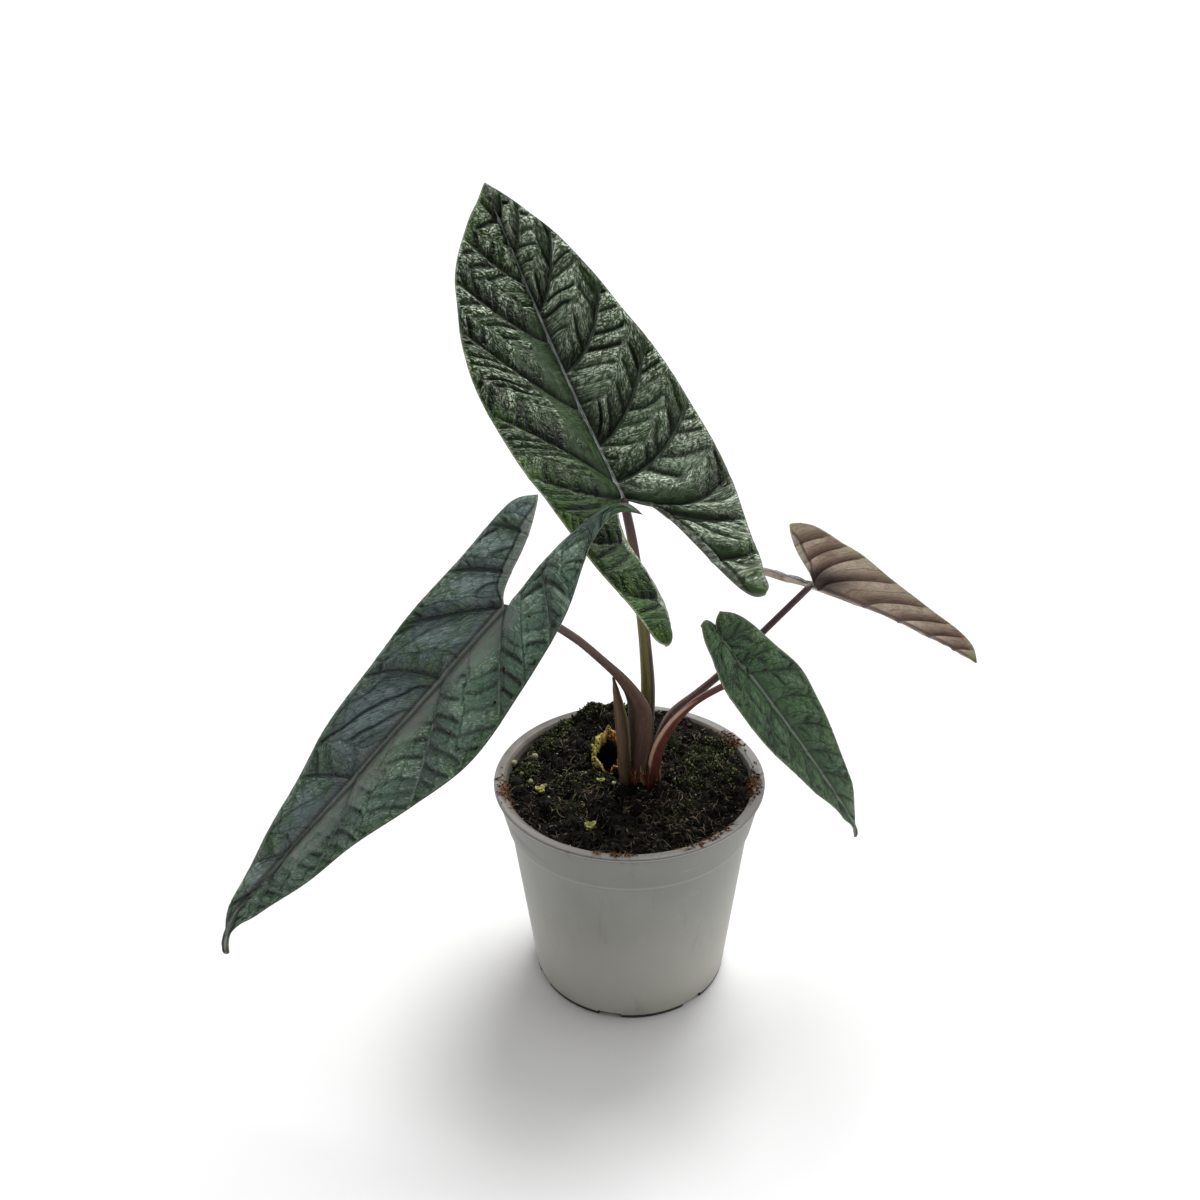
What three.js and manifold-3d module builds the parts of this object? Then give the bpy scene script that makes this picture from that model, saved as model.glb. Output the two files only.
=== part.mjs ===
// A small potted alocasia scalprum: four quilted leaf blades on sheathing stalks, rising from one
// fibrous crown in a 12 cm plastic nursery pot that is filled with peat soil.
// Millimetres, +Z up. Everything is placed from the pot's axis, and the plant is centred at the end.

import * as THREE from 'three';
import { mergeVertices } from 'three/addons/utils/BufferGeometryUtils.js';
import Module from 'manifold-3d';

const wasm = await Module();
wasm.setup();

// Driving dimensions
const clearance = 0.3;
const fullTurn = 2 * Math.PI;
const up = new THREE.Vector3(0, 0, 1);

const pot = {
  rimRadius: 60,
  height: 101,
  collarRadius: 55,
  collarHeight: 81.5,
  baseRadius: 44.3,
  wall: 1.5,
  floorUnderside: 4,
  floorTop: 5.6,
  footWidth: 3.3,
  notches: 7,
  notchWidth: 12,
  notchHeight: 2.8,
  firstNotchAngle: -102,
  drainHoles: 8,
  drainRadius: 4,
  drainCircle: 30,
  segments: 48,
};

const soil = {
  edgeHeight: 95.6,
  moundHeight: 3.2,
  lump: 1.1,
  segments: 34,
  rings: 10,
};

const crown = {
  centre: [6.2, 0.6],
  radius: 8.4,
  bottom: 93.5,
  shoulder: 102,
  holeClearance: 0.7,
  fibres: 22,
  fibreRise: 11,
  fibreRadius: 0.75,
};

const rhizome = {
  top: 88,
  bottom: 50,
  radius: 12,
  roots: 8,
  rootRadius: 1.5,
  rootSpread: 33,
};

// Blades. A blade is drawn flat first, as points [along, out]: along the midrib from the stalk, and out
// from the midrib. The outer margin runs from the apex back to the tip of the basal lobe, and the inner
// margin from there to the stalk. Heading, rise and roll turn the whole blade; bend, sway and twist
// shape its midrib from stalk to apex, hook its last part; fold lifts each half from the midrib like
// an open book, and arch bends it down again over a quarter of the blade's length.
// The relief rises between the lateral veins. lateralStarts gives where they leave the midrib. A half's
// laterals are [end, bow]: the share of the outer margin where one ends, from lobe tip to apex, and how
// far it bows back towards the stalk. Its lobeLaterals are [start, end, bow], with the start as a share
// of the inner margin, from the lobe's tip.
const bladeThickness = 0.8;
const midribDepth = 1.1;
const hookStart = 0.86;
const rowsPerLateral = 3;
const frameStep = 3;

const blades = {
  a: {
    junction: [-1.9, -5.7, 234.9],
    length: 152,
    heading: -31.6,
    rise: 38,
    roll: 5.2,
    bend: 13.3,
    bendChange: 0,
    sway: -0.5,
    twist: -27.8,
    hook: 3.6,
    lobeTwist: -2,
    lobeSway: -1.2,
    lateralStarts: [0, 7, 24, 42, 60, 75, 89, 103, 117, 133],
    relief: 2.2,
    columns: 7,
    right: {
      fold: 27.9,
      arch: 16.3,
      droop: -53,
      outer: [
        [152, 0], [144.4, 5.4], [132.3, 12.4], [111.6, 22.3], [84.8, 30.5], [58.1, 37.5],
        [30.8, 42.8], [3, 45.2], [-24.2, 41.2], [-46.5, 35.1], [-58.6, 29.3], [-66.7, 24.7],
      ],
      inner: [[-66.7, 24.7], [-59.6, 20.2], [-46.5, 17.2], [-32.3, 15.6], [-17.8, 12.6], [-5.8, 7.1], [0, 0]],
      lobeLaterals: [[0.38, 0.1, 2], [0.74, 0.18, 3]],
      laterals: [
        [0.28, 10.8], [0.44, 7.5], [0.575, 7.5], [0.645, 8], [0.705, 8],
        [0.775, 7], [0.84, 6.5], [0.88, 5], [0.92, 4], [0.965, 2.5],
      ],
    },
    left: {
      fold: 25.1,
      arch: 17.6,
      droop: -14,
      outer: [
        [152, 0], [144.4, 5.7], [133.8, 14.9], [114.1, 27.9], [87.9, 37.1], [60.6, 43.6],
        [32.3, 43.8], [4, 43.1], [-23.2, 36.3], [-46, 30.6], [-60.1, 27.5], [-67.7, 22.7],
      ],
      inner: [[-67.7, 22.7], [-61.6, 16.4], [-50, 9.8], [-34.8, 9.9], [-20.2, 11.6], [-7.4, 7.6], [0, 0]],
      lobeLaterals: [[0.33, 0.11, 2], [0.68, 0.22, 3]],
      laterals: [
        [0.35, 5.5], [0.49, 3], [0.6, 6], [0.67, 9], [0.725, 9],
        [0.775, 8], [0.82, 7], [0.87, 5], [0.915, 4], [0.96, 2.5],
      ],
    },
  },
  b: {
    junction: [-45.5, -54.1, 211.2],
    length: 190.4,
    heading: -102.2,
    rise: -47.9,
    roll: -43.9,
    bend: -3.2,
    bendChange: -4.1,
    sway: 3.1,
    twist: -3,
    hook: -48,
    lobeTwist: 0.3,
    lobeSway: -0.6,
    lateralStarts: [0, 31, 57, 83, 108, 134, 159],
    relief: 1.8,
    columns: 6,
    right: {
      fold: 15.9,
      arch: 24.2,
      droop: 3,
      outer: [
        [190.4, 0], [181.9, 2.3], [167.9, 5.4], [145.2, 9.8], [117.2, 15.2], [89.7, 20.7],
        [61.8, 24], [33.8, 25.3], [5.8, 25.3], [-17.9, 24.7], [-31.8, 23.2], [-39.2, 17.9],
      ],
      inner: [[-39.2, 17.9], [-35, 14.9], [-28, 11.3], [-20, 8.4], [-11.6, 6.2], [-4.3, 3.5], [0, 0]],
      lobeLaterals: [[0.35, 0.1, 1.5], [0.7, 0.2, 1.5]],
      laterals: [[0.318, 1.2], [0.43, 4], [0.545, 3], [0.64, 2], [0.735, 2], [0.83, 2], [0.92, 1]],
    },
    left: {
      fold: 14.9,
      arch: 24.6,
      droop: 3.2,
      outer: [
        [190.4, 0], [180.9, 1.5], [166.5, 6.9], [140.9, 13.2], [109.5, 18.7], [78.6, 25.8],
        [47.3, 31.7], [15.4, 28.7], [-15.4, 21.4], [-39.6, 11.1], [-54, 10.4], [-60.6, 18.2],
      ],
      inner: [[-60.6, 18.2], [-58.9, 9.7], [-48.2, 3.4], [-35.2, 0.6], [-21.2, -0.4], [-9, 0.4], [0, 0]],
      lobeLaterals: [[0.35, 0.12, 2], [0.7, 0.24, 2]],
      laterals: [[0.37, 0], [0.56, 5], [0.665, 6], [0.765, 7], [0.845, 5], [0.91, 3], [0.955, 1.5]],
    },
  },
  c: {
    junction: [78.5, 20, 185],
    length: 95.9,
    heading: 74.2,
    rise: -26.2,
    roll: -52.5,
    bend: -9.8,
    bendChange: -1.3,
    sway: -2.8,
    twist: 1.8,
    hook: -7.1,
    lobeTwist: 0.2,
    lobeSway: 0,
    lateralStarts: [0, 4, 28.6, 48, 66, 81],
    relief: 1.1,
    columns: 5,
    right: {
      fold: 27.8,
      arch: 14.3,
      droop: 2.6,
      outer: [
        [95.9, 0], [92.5, 2.3], [86, 5.8], [73.5, 8.9], [58, 10.8], [42.7, 13.6],
        [27.5, 17], [12.6, 21], [-2.8, 24], [-15.5, 26.2], [-23.2, 25.5], [-27.7, 23],
      ],
      inner: [[-27.7, 23], [-25, 19.7], [-20.5, 15.3], [-15, 10.9], [-9, 7], [-3.6, 3.5], [0, 0]],
      lobeLaterals: [[0.36, 0.16, 1.5], [0.68, 0.24, 2.5]],
      laterals: [[0.328, 5], [0.5, 5], [0.667, 3.5], [0.784, 1], [0.875, 1], [0.94, 0.5]],
    },
    left: {
      fold: 37.4,
      arch: 14.2,
      droop: 3,
      outer: [
        [95.9, 0], [92.5, 2.3], [86, 5.8], [73.5, 8.9], [58, 10.8], [42.7, 13.6],
        [27.5, 17], [12.6, 21], [-2.8, 24], [-15.5, 26.2], [-23.2, 25.5], [-27.7, 23],
      ],
      inner: [[-27.7, 23], [-25, 19.7], [-20.5, 15.3], [-15, 10.9], [-9, 7], [-3.6, 3.5], [0, 0]],
      lobeLaterals: [[0.36, 0.16, 1.5], [0.68, 0.24, 2.5]],
      laterals: [[0.328, 5], [0.5, 5], [0.667, 3.5], [0.784, 1], [0.875, 1], [0.94, 0.5]],
    },
  },
  d: {
    junction: [47.6, -30, 169.2],
    length: 110.2,
    heading: 82.9,
    rise: -56,
    roll: 55.9,
    bend: -11.2,
    bendChange: -6.2,
    sway: -2.9,
    twist: 3.1,
    hook: 25.5,
    lobeTwist: -1.3,
    lobeSway: -0.7,
    lateralStarts: [0, 19, 33, 48, 63, 78, 92],
    relief: 1.1,
    columns: 5,
    right: {
      fold: 20.2,
      arch: 16.8,
      droop: 1.1,
      outer: [
        [110.2, 0], [104.6, 1], [96, 2.4], [81, 4.8], [64, 8.7], [46.5, 12.1],
        [29, 14.6], [11, 16], [-6.7, 14.6], [-19, 8.2], [-26, 3.4], [-31.3, 0],
      ],
      inner: [[-31.3, 0], [-28.8, -2.6], [-23, -4], [-16, -4], [-9.6, -2.6], [-3.8, -1], [0, 0]],
      lobeLaterals: [[0.45, 0.12, 1], [0.8, 0.22, 1]],
      laterals: [[0.33, 2], [0.46, 3], [0.58, 3], [0.69, 2.5], [0.79, 2], [0.88, 1.5], [0.94, 1]],
    },
    left: {
      fold: 21.1,
      arch: 17.5,
      droop: 1.4,
      outer: [
        [110.2, 0], [105.3, 1.2], [97, 3.7], [83, 8], [66, 11.4], [49, 14.2],
        [31.6, 17.2], [14.5, 18.6], [-2.7, 15.7], [-16.8, 13], [-25, 10.4], [-29.7, 7],
      ],
      inner: [[-29.7, 7], [-26.3, 5.4], [-21, 5], [-15, 4.8], [-9, 3.6], [-3.5, 1.9], [0, 0]],
      lobeLaterals: [[0.45, 0.12, 1], [0.8, 0.22, 1]],
      laterals: [[0.33, 1], [0.45, 5], [0.56, 4], [0.67, 2.5], [0.77, 2], [0.86, 1.5], [0.93, 1]],
    },
  },
};

// Stalks. Each runs from the rhizome to its blade. Widths and depths are half sizes at even stations,
// and the groove is how deep the sheathing base is hollowed on its inner face.
const stalks = {
  a: {
    path: [
      [6.2, 3.2, 88.3], [7, 3.4, 106], [8, 2, 127], [8.3, 0, 146],
      [7.1, -1.5, 166], [4.8, -3.5, 190], [2, -5, 214.3], [-2.1, -5.6, 236.4],
    ],
    width: [2.7, 3, 3.2, 3.1, 2.6, 2.3, 2, 1.7],
    depth: [2.5, 2.8, 2.9, 2.8, 2.5, 2.3, 2, 1.7],
    groove: [0.2, 0.3, 0.35, 0.3, 0.15, 0, 0, 0],
    facing: [-0.4, 0.9, 0],
  },
  b: {
    path: [
      [3, -1.6, 88.3], [3.4, -3.2, 108], [4.6, -5.5, 128], [3.8, -9, 143.5],
      [-1.8, -15, 158], [-12, -26, 175.5], [-20.7, -34, 188], [-33, -45.5, 202.5], [-46.6, -54.8, 211.9],
    ],
    width: [3.6, 4.4, 5.6, 5.8, 4.4, 2.6, 2, 1.7, 1.5],
    depth: [2.2, 2.4, 2.8, 3, 2.6, 2.1, 1.8, 1.6, 1.5],
    groove: [0.3, 0.5, 0.7, 0.8, 0.7, 0.4, 0.1, 0, 0],
    facing: [0.6, 0.4, 0.7],
  },
  c: {
    path: [
      [9.8, 4.2, 88.3], [11, 5.2, 104], [13.4, 6.6, 117], [19, 8.4, 127.6],
      [30, 12, 135.6], [40.4, 15, 143.6], [57.9, 18, 162.2], [79.4, 20.1, 185.6],
    ],
    width: [1.8, 2, 2.1, 2.1, 1.9, 1.7, 1.6, 1.4],
    depth: [1.8, 2, 2.1, 2, 1.8, 1.7, 1.5, 1.4],
    groove: [0.2, 0.3, 0.3, 0.3, 0.2, 0, 0, 0],
    facing: [-0.5, 0, 0.9],
  },
  d: {
    path: [
      [9.2, -2.4, 88.3], [10.2, -3.6, 104], [12, -5.2, 116], [15.4, -8, 127.4],
      [20.6, -11.6, 138.4], [27.4, -16.4, 148.6], [36.6, -24, 159.4], [48.8, -30.6, 169.6],
    ],
    width: [2.4, 3.1, 3.7, 3.8, 3.4, 2.3, 1.4, 1.2],
    depth: [2.2, 2.6, 2.8, 2.7, 2.3, 1.8, 1.4, 1.2],
    groove: [0.2, 0.5, 0.7, 0.75, 0.7, 0.4, 0, 0],
    facing: [-0.6, 0.4, 0.7],
  },
};
const stalkStations = 21;
const stalkSides = 10;

const bract = {
  path: [[-1.6, -3.4, 94], [-2.2, -4, 112], [-4.2, -4.6, 131], [-8.2, -5, 147.5], [-13.4, -5.4, 160.5]],
  halfWidth: [1.5, 1.9, 1.9, 1.5, 0.4],
  thickness: 0.8,
  facing: [0.9, 0.4, 0],
  holeRadius: 2.4,
};

const stub = {
  centre: [-9.4, 10.6],
  bottom: 92.4,
  radius: 6.6,
  wall: 1.1,
  frontHeight: 99.5,
  backHeight: 114,
  segments: 22,
};

const sproutRoot = 4;
const sprouts = {
  left: { place: [-38.7, -9.9], size: 2.6, leaflets: 3 },
  front: { place: [-16.4, -36.9], size: 2.8, leaflets: 3 },
  middle: { place: [-12.4, -6], size: 2, leaflets: 2 },
};

// Small helpers
const radians = THREE.MathUtils.degToRad;
const mix = THREE.MathUtils.lerp;
const vector = (values) => new THREE.Vector3(...values);

function seededRandom(seed) {
  let state = seed;
  return () => {
    state = (state * 1664525 + 1013904223) % 4294967296;
    return state / 4294967296;
  };
}

// The value at share t of a list of values at even stations.
function along(values, t) {
  const place = t * (values.length - 1);
  const index = Math.min(Math.floor(place), values.length - 2);
  return mix(values[index], values[index + 1], place - index);
}

function geometryFrom(points, faces) {
  const geometry = new THREE.BufferGeometry();
  const coordinates = points.flatMap((point) => point.toArray());
  geometry.setAttribute('position', new THREE.Float32BufferAttribute(coordinates, 3));
  geometry.setIndex(faces.flat());
  return geometry;
}

function solidFrom(geometry) {
  const bare = geometry.clone();
  bare.deleteAttribute('normal');
  bare.deleteAttribute('uv');
  const merged = mergeVertices(bare);
  return new wasm.Manifold(new wasm.Mesh({
    numProp: 3,
    vertProperties: new Float32Array(merged.attributes.position.array),
    triVerts: new Uint32Array(merged.index.array),
  }));
}

function geometryOf(solid) {
  const mesh = solid.getMesh();
  const geometry = new THREE.BufferGeometry();
  geometry.setAttribute('position', new THREE.BufferAttribute(mesh.vertProperties, 3));
  geometry.setIndex(new THREE.BufferAttribute(mesh.triVerts, 1));
  return geometry;
}

function joined(solids) {
  return solids.reduce((whole, solid) => whole.add(solid));
}

// A cut can leave a crumb beside the piece that is meant, so only the largest body is kept.
function largestBody(solid) {
  return solid.decompose().reduce((best, body) => (body.volume() > best.volume() ? body : best));
}

// A closed body along a path, with one ring of points [across, above] at each station.
function sweep(path, stations, facing, section) {
  const points = [];
  const faces = [];
  const sides = section(0).length;
  for (let station = 0; station <= stations; station += 1) {
    const t = station / stations;
    const centre = path.getPoint(t);
    const tangent = path.getTangent(t);
    const across = facing.clone().cross(tangent).normalize();
    const above = tangent.clone().cross(across);
    for (const [x, y] of section(t)) {
      points.push(centre.clone().addScaledVector(across, x).addScaledVector(above, y));
    }
  }
  for (let station = 0; station < stations; station += 1) {
    for (let side = 0; side < sides; side += 1) {
      const next = (side + 1) % sides;
      const low = station * sides;
      const high = low + sides;
      faces.push([low + side, high + next, high + side], [low + side, low + next, high + next]);
    }
  }
  const last = stations * sides;
  const outline = (t) => section(t).map(([x, y]) => new THREE.Vector2(x, y));
  for (const [i, j, k] of THREE.ShapeUtils.triangulateShape(outline(0), [])) {
    faces.push([i, k, j]);
  }
  for (const [i, j, k] of THREE.ShapeUtils.triangulateShape(outline(1), [])) {
    faces.push([last + i, last + j, last + k]);
  }
  return geometryFrom(points, faces);
}

// A closed body round a vertical axis. Each row gives [radius, height] at an angle, and the first and
// last rows are single points on the axis.
function roundBody([x, y], rows, segments) {
  const points = [];
  const ringStart = [];
  rows.forEach((row, index) => {
    ringStart.push(points.length);
    const isPole = index === 0 || index === rows.length - 1;
    for (let segment = 0; segment < (isPole ? 1 : segments); segment += 1) {
      const angle = (segment / segments) * fullTurn;
      const [radius, height] = row(angle);
      points.push(new THREE.Vector3(x + radius * Math.cos(angle), y + radius * Math.sin(angle), height));
    }
  });
  const faces = [];
  for (let index = 0; index < rows.length - 1; index += 1) {
    for (let segment = 0; segment < segments; segment += 1) {
      const next = (segment + 1) % segments;
      const low = ringStart[index];
      const high = ringStart[index + 1];
      if (index > 0) {
        faces.push([low + segment, low + next, high + (index < rows.length - 2 ? next : 0)]);
      }
      if (index < rows.length - 2) {
        faces.push([low + (index > 0 ? segment : 0), high + next, high + segment]);
      }
    }
  }
  return geometryFrom(points, faces);
}

function fixedRow(radius, height) {
  return () => [radius, height];
}

// Pot: one lathed shell, with notches between its feet and drain holes in its raised floor.
function potInnerRadius(height) {
  const wallTop = pot.collarHeight - 1;
  const lowerRadius = pot.baseRadius - pot.wall;
  const upperRadius = pot.collarRadius - 1.1 - pot.wall;
  if (height < wallTop) {
    return mix(lowerRadius, upperRadius, (height - pot.floorTop) / (wallTop - pot.floorTop));
  }
  return mix(upperRadius + 1, pot.rimRadius - 3.5, (height - wallTop) / (pot.height - 4 - wallTop));
}

function potSolid() {
  const { rimRadius, height, collarRadius, collarHeight, baseRadius, wall } = pot;
  const profile = [
    [0, pot.floorUnderside],
    [baseRadius - pot.footWidth - 0.6, pot.floorUnderside],
    [baseRadius - pot.footWidth, 0],
    [baseRadius - 0.5, 0],
    [baseRadius, 0.6],
    [collarRadius - 1.1, collarHeight - 1],
    [collarRadius - 0.3, collarHeight - 0.6],
    [collarRadius, collarHeight + 0.4],
    [rimRadius - 2.4, height - 5.4],
    [rimRadius - 0.5, height - 4.2],
    [rimRadius, height - 2.6],
    [rimRadius - 0.4, height - 0.9],
    [rimRadius - 1.7, height],
    [rimRadius - 3, height - 0.7],
    [rimRadius - 3.5, height - 4],
    [potInnerRadius(collarHeight), collarHeight],
    [potInnerRadius(collarHeight - 1.2), collarHeight - 1.2],
    [baseRadius - wall, pot.floorTop],
    [0, pot.floorTop],
  ];
  const outline = profile.map(([radius, level]) => new THREE.Vector2(radius, level));
  const shell = new THREE.LatheGeometry(outline, pot.segments);
  shell.rotateX(Math.PI / 2);
  const cuts = [];
  for (let notch = 0; notch < pot.notches; notch += 1) {
    const angle = radians(pot.firstNotchAngle) + (notch / pot.notches) * fullTurn;
    const block = new THREE.BoxGeometry(pot.footWidth * 4, pot.notchWidth, pot.notchHeight * 2);
    block.translate(pot.baseRadius - 1, 0, 0);
    block.rotateZ(angle);
    cuts.push(solidFrom(block));
  }
  for (let hole = 0; hole < pot.drainHoles; hole += 1) {
    const angle = ((hole + 0.5) / pot.drainHoles) * fullTurn;
    const drill = new THREE.CylinderGeometry(pot.drainRadius, pot.drainRadius, 10, 10);
    drill.rotateX(Math.PI / 2);
    drill.translate(pot.drainCircle * Math.cos(angle), pot.drainCircle * Math.sin(angle), 5);
    cuts.push(solidFrom(drill));
  }
  return solidFrom(shell).subtract(joined(cuts));
}

// Soil: fills the pot up to its rim, lumpy and a little mounded on top.
function soilHeight(x, y) {
  const lumps = Math.sin(0.33 * x + 1.3) * Math.sin(0.29 * y + 0.4)
    + 0.7 * Math.sin(0.61 * x + 0.47 * y + 2.1)
    + 0.5 * Math.sin(0.52 * x - 0.83 * y + 0.7);
  const share = Math.min(1, Math.hypot(x, y) / pot.rimRadius);
  return soil.edgeHeight + soil.moundHeight * (1 - share * share) + soil.lump * lumps * (1 - share ** 6);
}

function soilSolid() {
  const bottom = pot.floorTop + clearance;
  const wallRow = (height) => fixedRow(potInnerRadius(height) - clearance - 0.1, height);
  const rows = [
    fixedRow(0, bottom),
    wallRow(bottom),
    wallRow(pot.collarHeight - 2),
    wallRow(pot.collarHeight + 2),
  ];
  const topRadius = potInnerRadius(soil.edgeHeight) - clearance - 0.3;
  for (let ring = soil.rings; ring >= 0; ring -= 1) {
    const radius = topRadius * (ring / soil.rings);
    rows.push((angle) => [radius, soilHeight(radius * Math.cos(angle), radius * Math.sin(angle))]);
  }
  return solidFrom(roundBody([0, 0], rows, soil.segments));
}

// Rhizome: the thick corm under the soil, with its fleshy roots. The body can be grown by a margin.
function rhizomeSolid(margin) {
  const middle = mix(rhizome.bottom, rhizome.top, 0.62);
  const belly = mix(rhizome.bottom, middle, 0.5);
  const core = roundBody(crown.centre, [
    fixedRow(0, rhizome.bottom - margin),
    fixedRow(rhizome.radius * 0.45 + margin, rhizome.bottom + 2 - margin),
    (angle) => [rhizome.radius * (0.86 + 0.06 * Math.sin(3 * angle)) + margin, belly],
    (angle) => [rhizome.radius * (1 + 0.05 * Math.sin(2 * angle + 1)) + margin, middle],
    fixedRow(rhizome.radius * 0.9 + margin, mix(middle, rhizome.top, 0.6)),
    fixedRow(rhizome.radius * 0.7 + margin, rhizome.top + margin),
    fixedRow(0, rhizome.top + margin),
  ], 20);
  const random = seededRandom(11);
  const parts = [solidFrom(core)];
  for (let root = 0; root < rhizome.roots; root += 1) {
    const angle = ((root + 0.6 * random()) / rhizome.roots) * fullTurn;
    const start = mix(rhizome.bottom + 8, middle, random());
    const reach = rhizome.rootSpread * mix(0.75, 1, random());
    const drop = mix(18, 34, random());
    const swing = mix(-0.5, 0.5, random());
    const place = (radius, turn, height) => new THREE.Vector3(
      crown.centre[0] + radius * Math.cos(angle + turn),
      crown.centre[1] + radius * Math.sin(angle + turn),
      height,
    );
    const path = new THREE.CatmullRomCurve3([
      place(rhizome.radius * 0.4, 0, start + 1),
      place(rhizome.radius + 4, 0, start),
      place(reach * 0.8, swing * 0.6, start - drop * 0.5),
      place(reach + margin, swing, start - drop - margin),
    ]);
    const ring = (t) => {
      const radius = mix(rhizome.rootRadius, rhizome.rootRadius * 0.5, t) + margin;
      return circle(radius, radius, 5, 0);
    };
    parts.push(solidFrom(sweep(path, 5, up, ring)));
  }
  return joined(parts);
}

// A ring of points, flattened or hollowed on its upper side by the groove.
function circle(halfWidth, halfDepth, sides, groove) {
  const ring = [];
  for (let side = 0; side < sides; side += 1) {
    const angle = (side / sides) * fullTurn;
    const upper = Math.max(0, Math.sin(angle));
    ring.push([halfWidth * Math.cos(angle), halfDepth * Math.sin(angle) * (1 - groove * upper * upper)]);
  }
  return ring;
}

// Stalks: tapering, with a hollowed sheathing base. A stalk can be grown by a margin to cut its hole.
function stalkSolid(stalk, margin) {
  const path = new THREE.CatmullRomCurve3(stalk.path.map(vector));
  const section = (t) => circle(
    along(stalk.width, t) + margin,
    along(stalk.depth, t) + margin,
    stalkSides,
    along(stalk.groove, t),
  );
  return solidFrom(sweep(path, stalkStations, vector(stalk.facing), section));
}

// Blades: the midrib's frames are stepped out from the stalk, forwards to the apex and backwards under
// each basal lobe, and every flat point is carried onto the folded, arched surface that they give.
function turned({ forward, side, normal }, bend, sway, twist) {
  const newForward = forward.clone().addScaledVector(normal, bend).addScaledVector(side, sway).normalize();
  const level = side.clone().addScaledVector(newForward, -side.dot(newForward)).normalize();
  const upright = level.clone().cross(newForward);
  return {
    forward: newForward,
    side: level.clone().multiplyScalar(Math.cos(twist)).addScaledVector(upright, -Math.sin(twist)),
    normal: upright.multiplyScalar(Math.cos(twist)).addScaledVector(level, Math.sin(twist)),
  };
}

function firstFrame(blade) {
  const heading = radians(blade.heading);
  const rise = radians(blade.rise);
  const forward = new THREE.Vector3(
    Math.cos(rise) * Math.sin(heading),
    Math.cos(rise) * Math.cos(heading),
    Math.sin(rise),
  );
  const side = new THREE.Vector3(Math.cos(heading), -Math.sin(heading), 0);
  const frame = { forward, side, normal: side.clone().cross(forward) };
  return { point: vector(blade.junction), ...turned(frame, 0, 0, radians(blade.roll)) };
}

function midribFrames(blade) {
  const frames = [firstFrame(blade)];
  const step = frameStep / blade.length;
  for (let index = 0; index * frameStep < blade.length; index += 1) {
    const frame = frames[index];
    const share = (index + 0.5) * step;
    const bend = radians(blade.bend + 2 * blade.bendChange * share) * step;
    const hook = share > hookStart ? (radians(blade.hook) * step) / (1 - hookStart) : 0;
    const sway = radians(blade.sway) * step + hook;
    const point = frame.point.clone().addScaledVector(frame.forward, frameStep);
    frames.push({ point, ...turned(frame, bend, sway, radians(blade.twist) * step) });
  }
  return frames;
}

function lobeFrames(blade, half, sign) {
  const frames = [firstFrame(blade)];
  const step = frameStep / blade.length;
  for (let index = 0; index * frameStep < blade.length * 0.5; index += 1) {
    const frame = frames[index];
    const point = frame.point.clone().addScaledVector(frame.forward, -frameStep);
    const droop = radians(half.droop) * step;
    const sway = -radians(blade.lobeSway) * sign * step;
    frames.push({ point, ...turned(frame, droop, sway, -radians(blade.lobeTwist) * step) });
  }
  return frames;
}

function bladeSurface(blade, half, sign) {
  const forwards = midribFrames(blade);
  const backwards = lobeFrames(blade, half, sign);
  const fold = radians(half.fold);
  const curve = radians(half.arch) / (blade.length / 4);
  return (distance, out) => {
    const frames = distance < 0 ? backwards : forwards;
    const place = Math.min(Math.abs(distance) / frameStep, frames.length - 1.001);
    const index = Math.floor(place);
    const blend = (name) => frames[index][name].clone().lerp(frames[index + 1][name], place - index);
    const sideways = (Math.sin(fold) - Math.sin(fold - curve * out)) / curve;
    const lift = (Math.cos(fold - curve * out) - Math.cos(fold)) / curve;
    const levelPoint = blend('point').addScaledVector(blend('side'), sign * sideways);
    return levelPoint.addScaledVector(blend('normal'), lift);
  };
}

// Flat point of a half blade, with its height of relief. Rows follow the lateral veins from the inner
// edge to the outer margin, and columns share them out.
function halfLayout(blade, half) {
  const outer = new THREE.SplineCurve(half.outer.map(([x, y]) => new THREE.Vector2(x, y)).reverse());
  const inner = new THREE.SplineCurve(half.inner.map(([x, y]) => new THREE.Vector2(x, y)));
  const veins = [
    { inside: 0, start: 0, end: 0, bow: 0 },
    ...half.lobeLaterals.map(([inside, end, bow]) => ({ inside, start: 0, end, bow })),
    ...half.laterals.map(([end, bow], index) => ({ inside: 1, start: blade.lateralStarts[index], end, bow })),
    { inside: 1, start: blade.length, end: 1, bow: 0 },
  ];
  return (row, share) => {
    const value = (name) => along(veins.map((vein) => vein[name]), row / (veins.length - 1));
    const start = inner.getPointAt(value('inside')).add(new THREE.Vector2(value('start'), 0));
    const end = outer.getPointAt(value('end'));
    const bow = 4 * share * (1 - share) * value('bow');
    const fraction = row - Math.floor(row + 1e-6);
    const quilt = 4 * fraction * (1 - fraction) * Math.sin(Math.PI * share ** 0.75);
    return {
      distance: mix(start.x, end.x, share) - bow,
      out: mix(start.y, end.y, share),
      relief: blade.relief * quilt,
    };
  };
}

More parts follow.
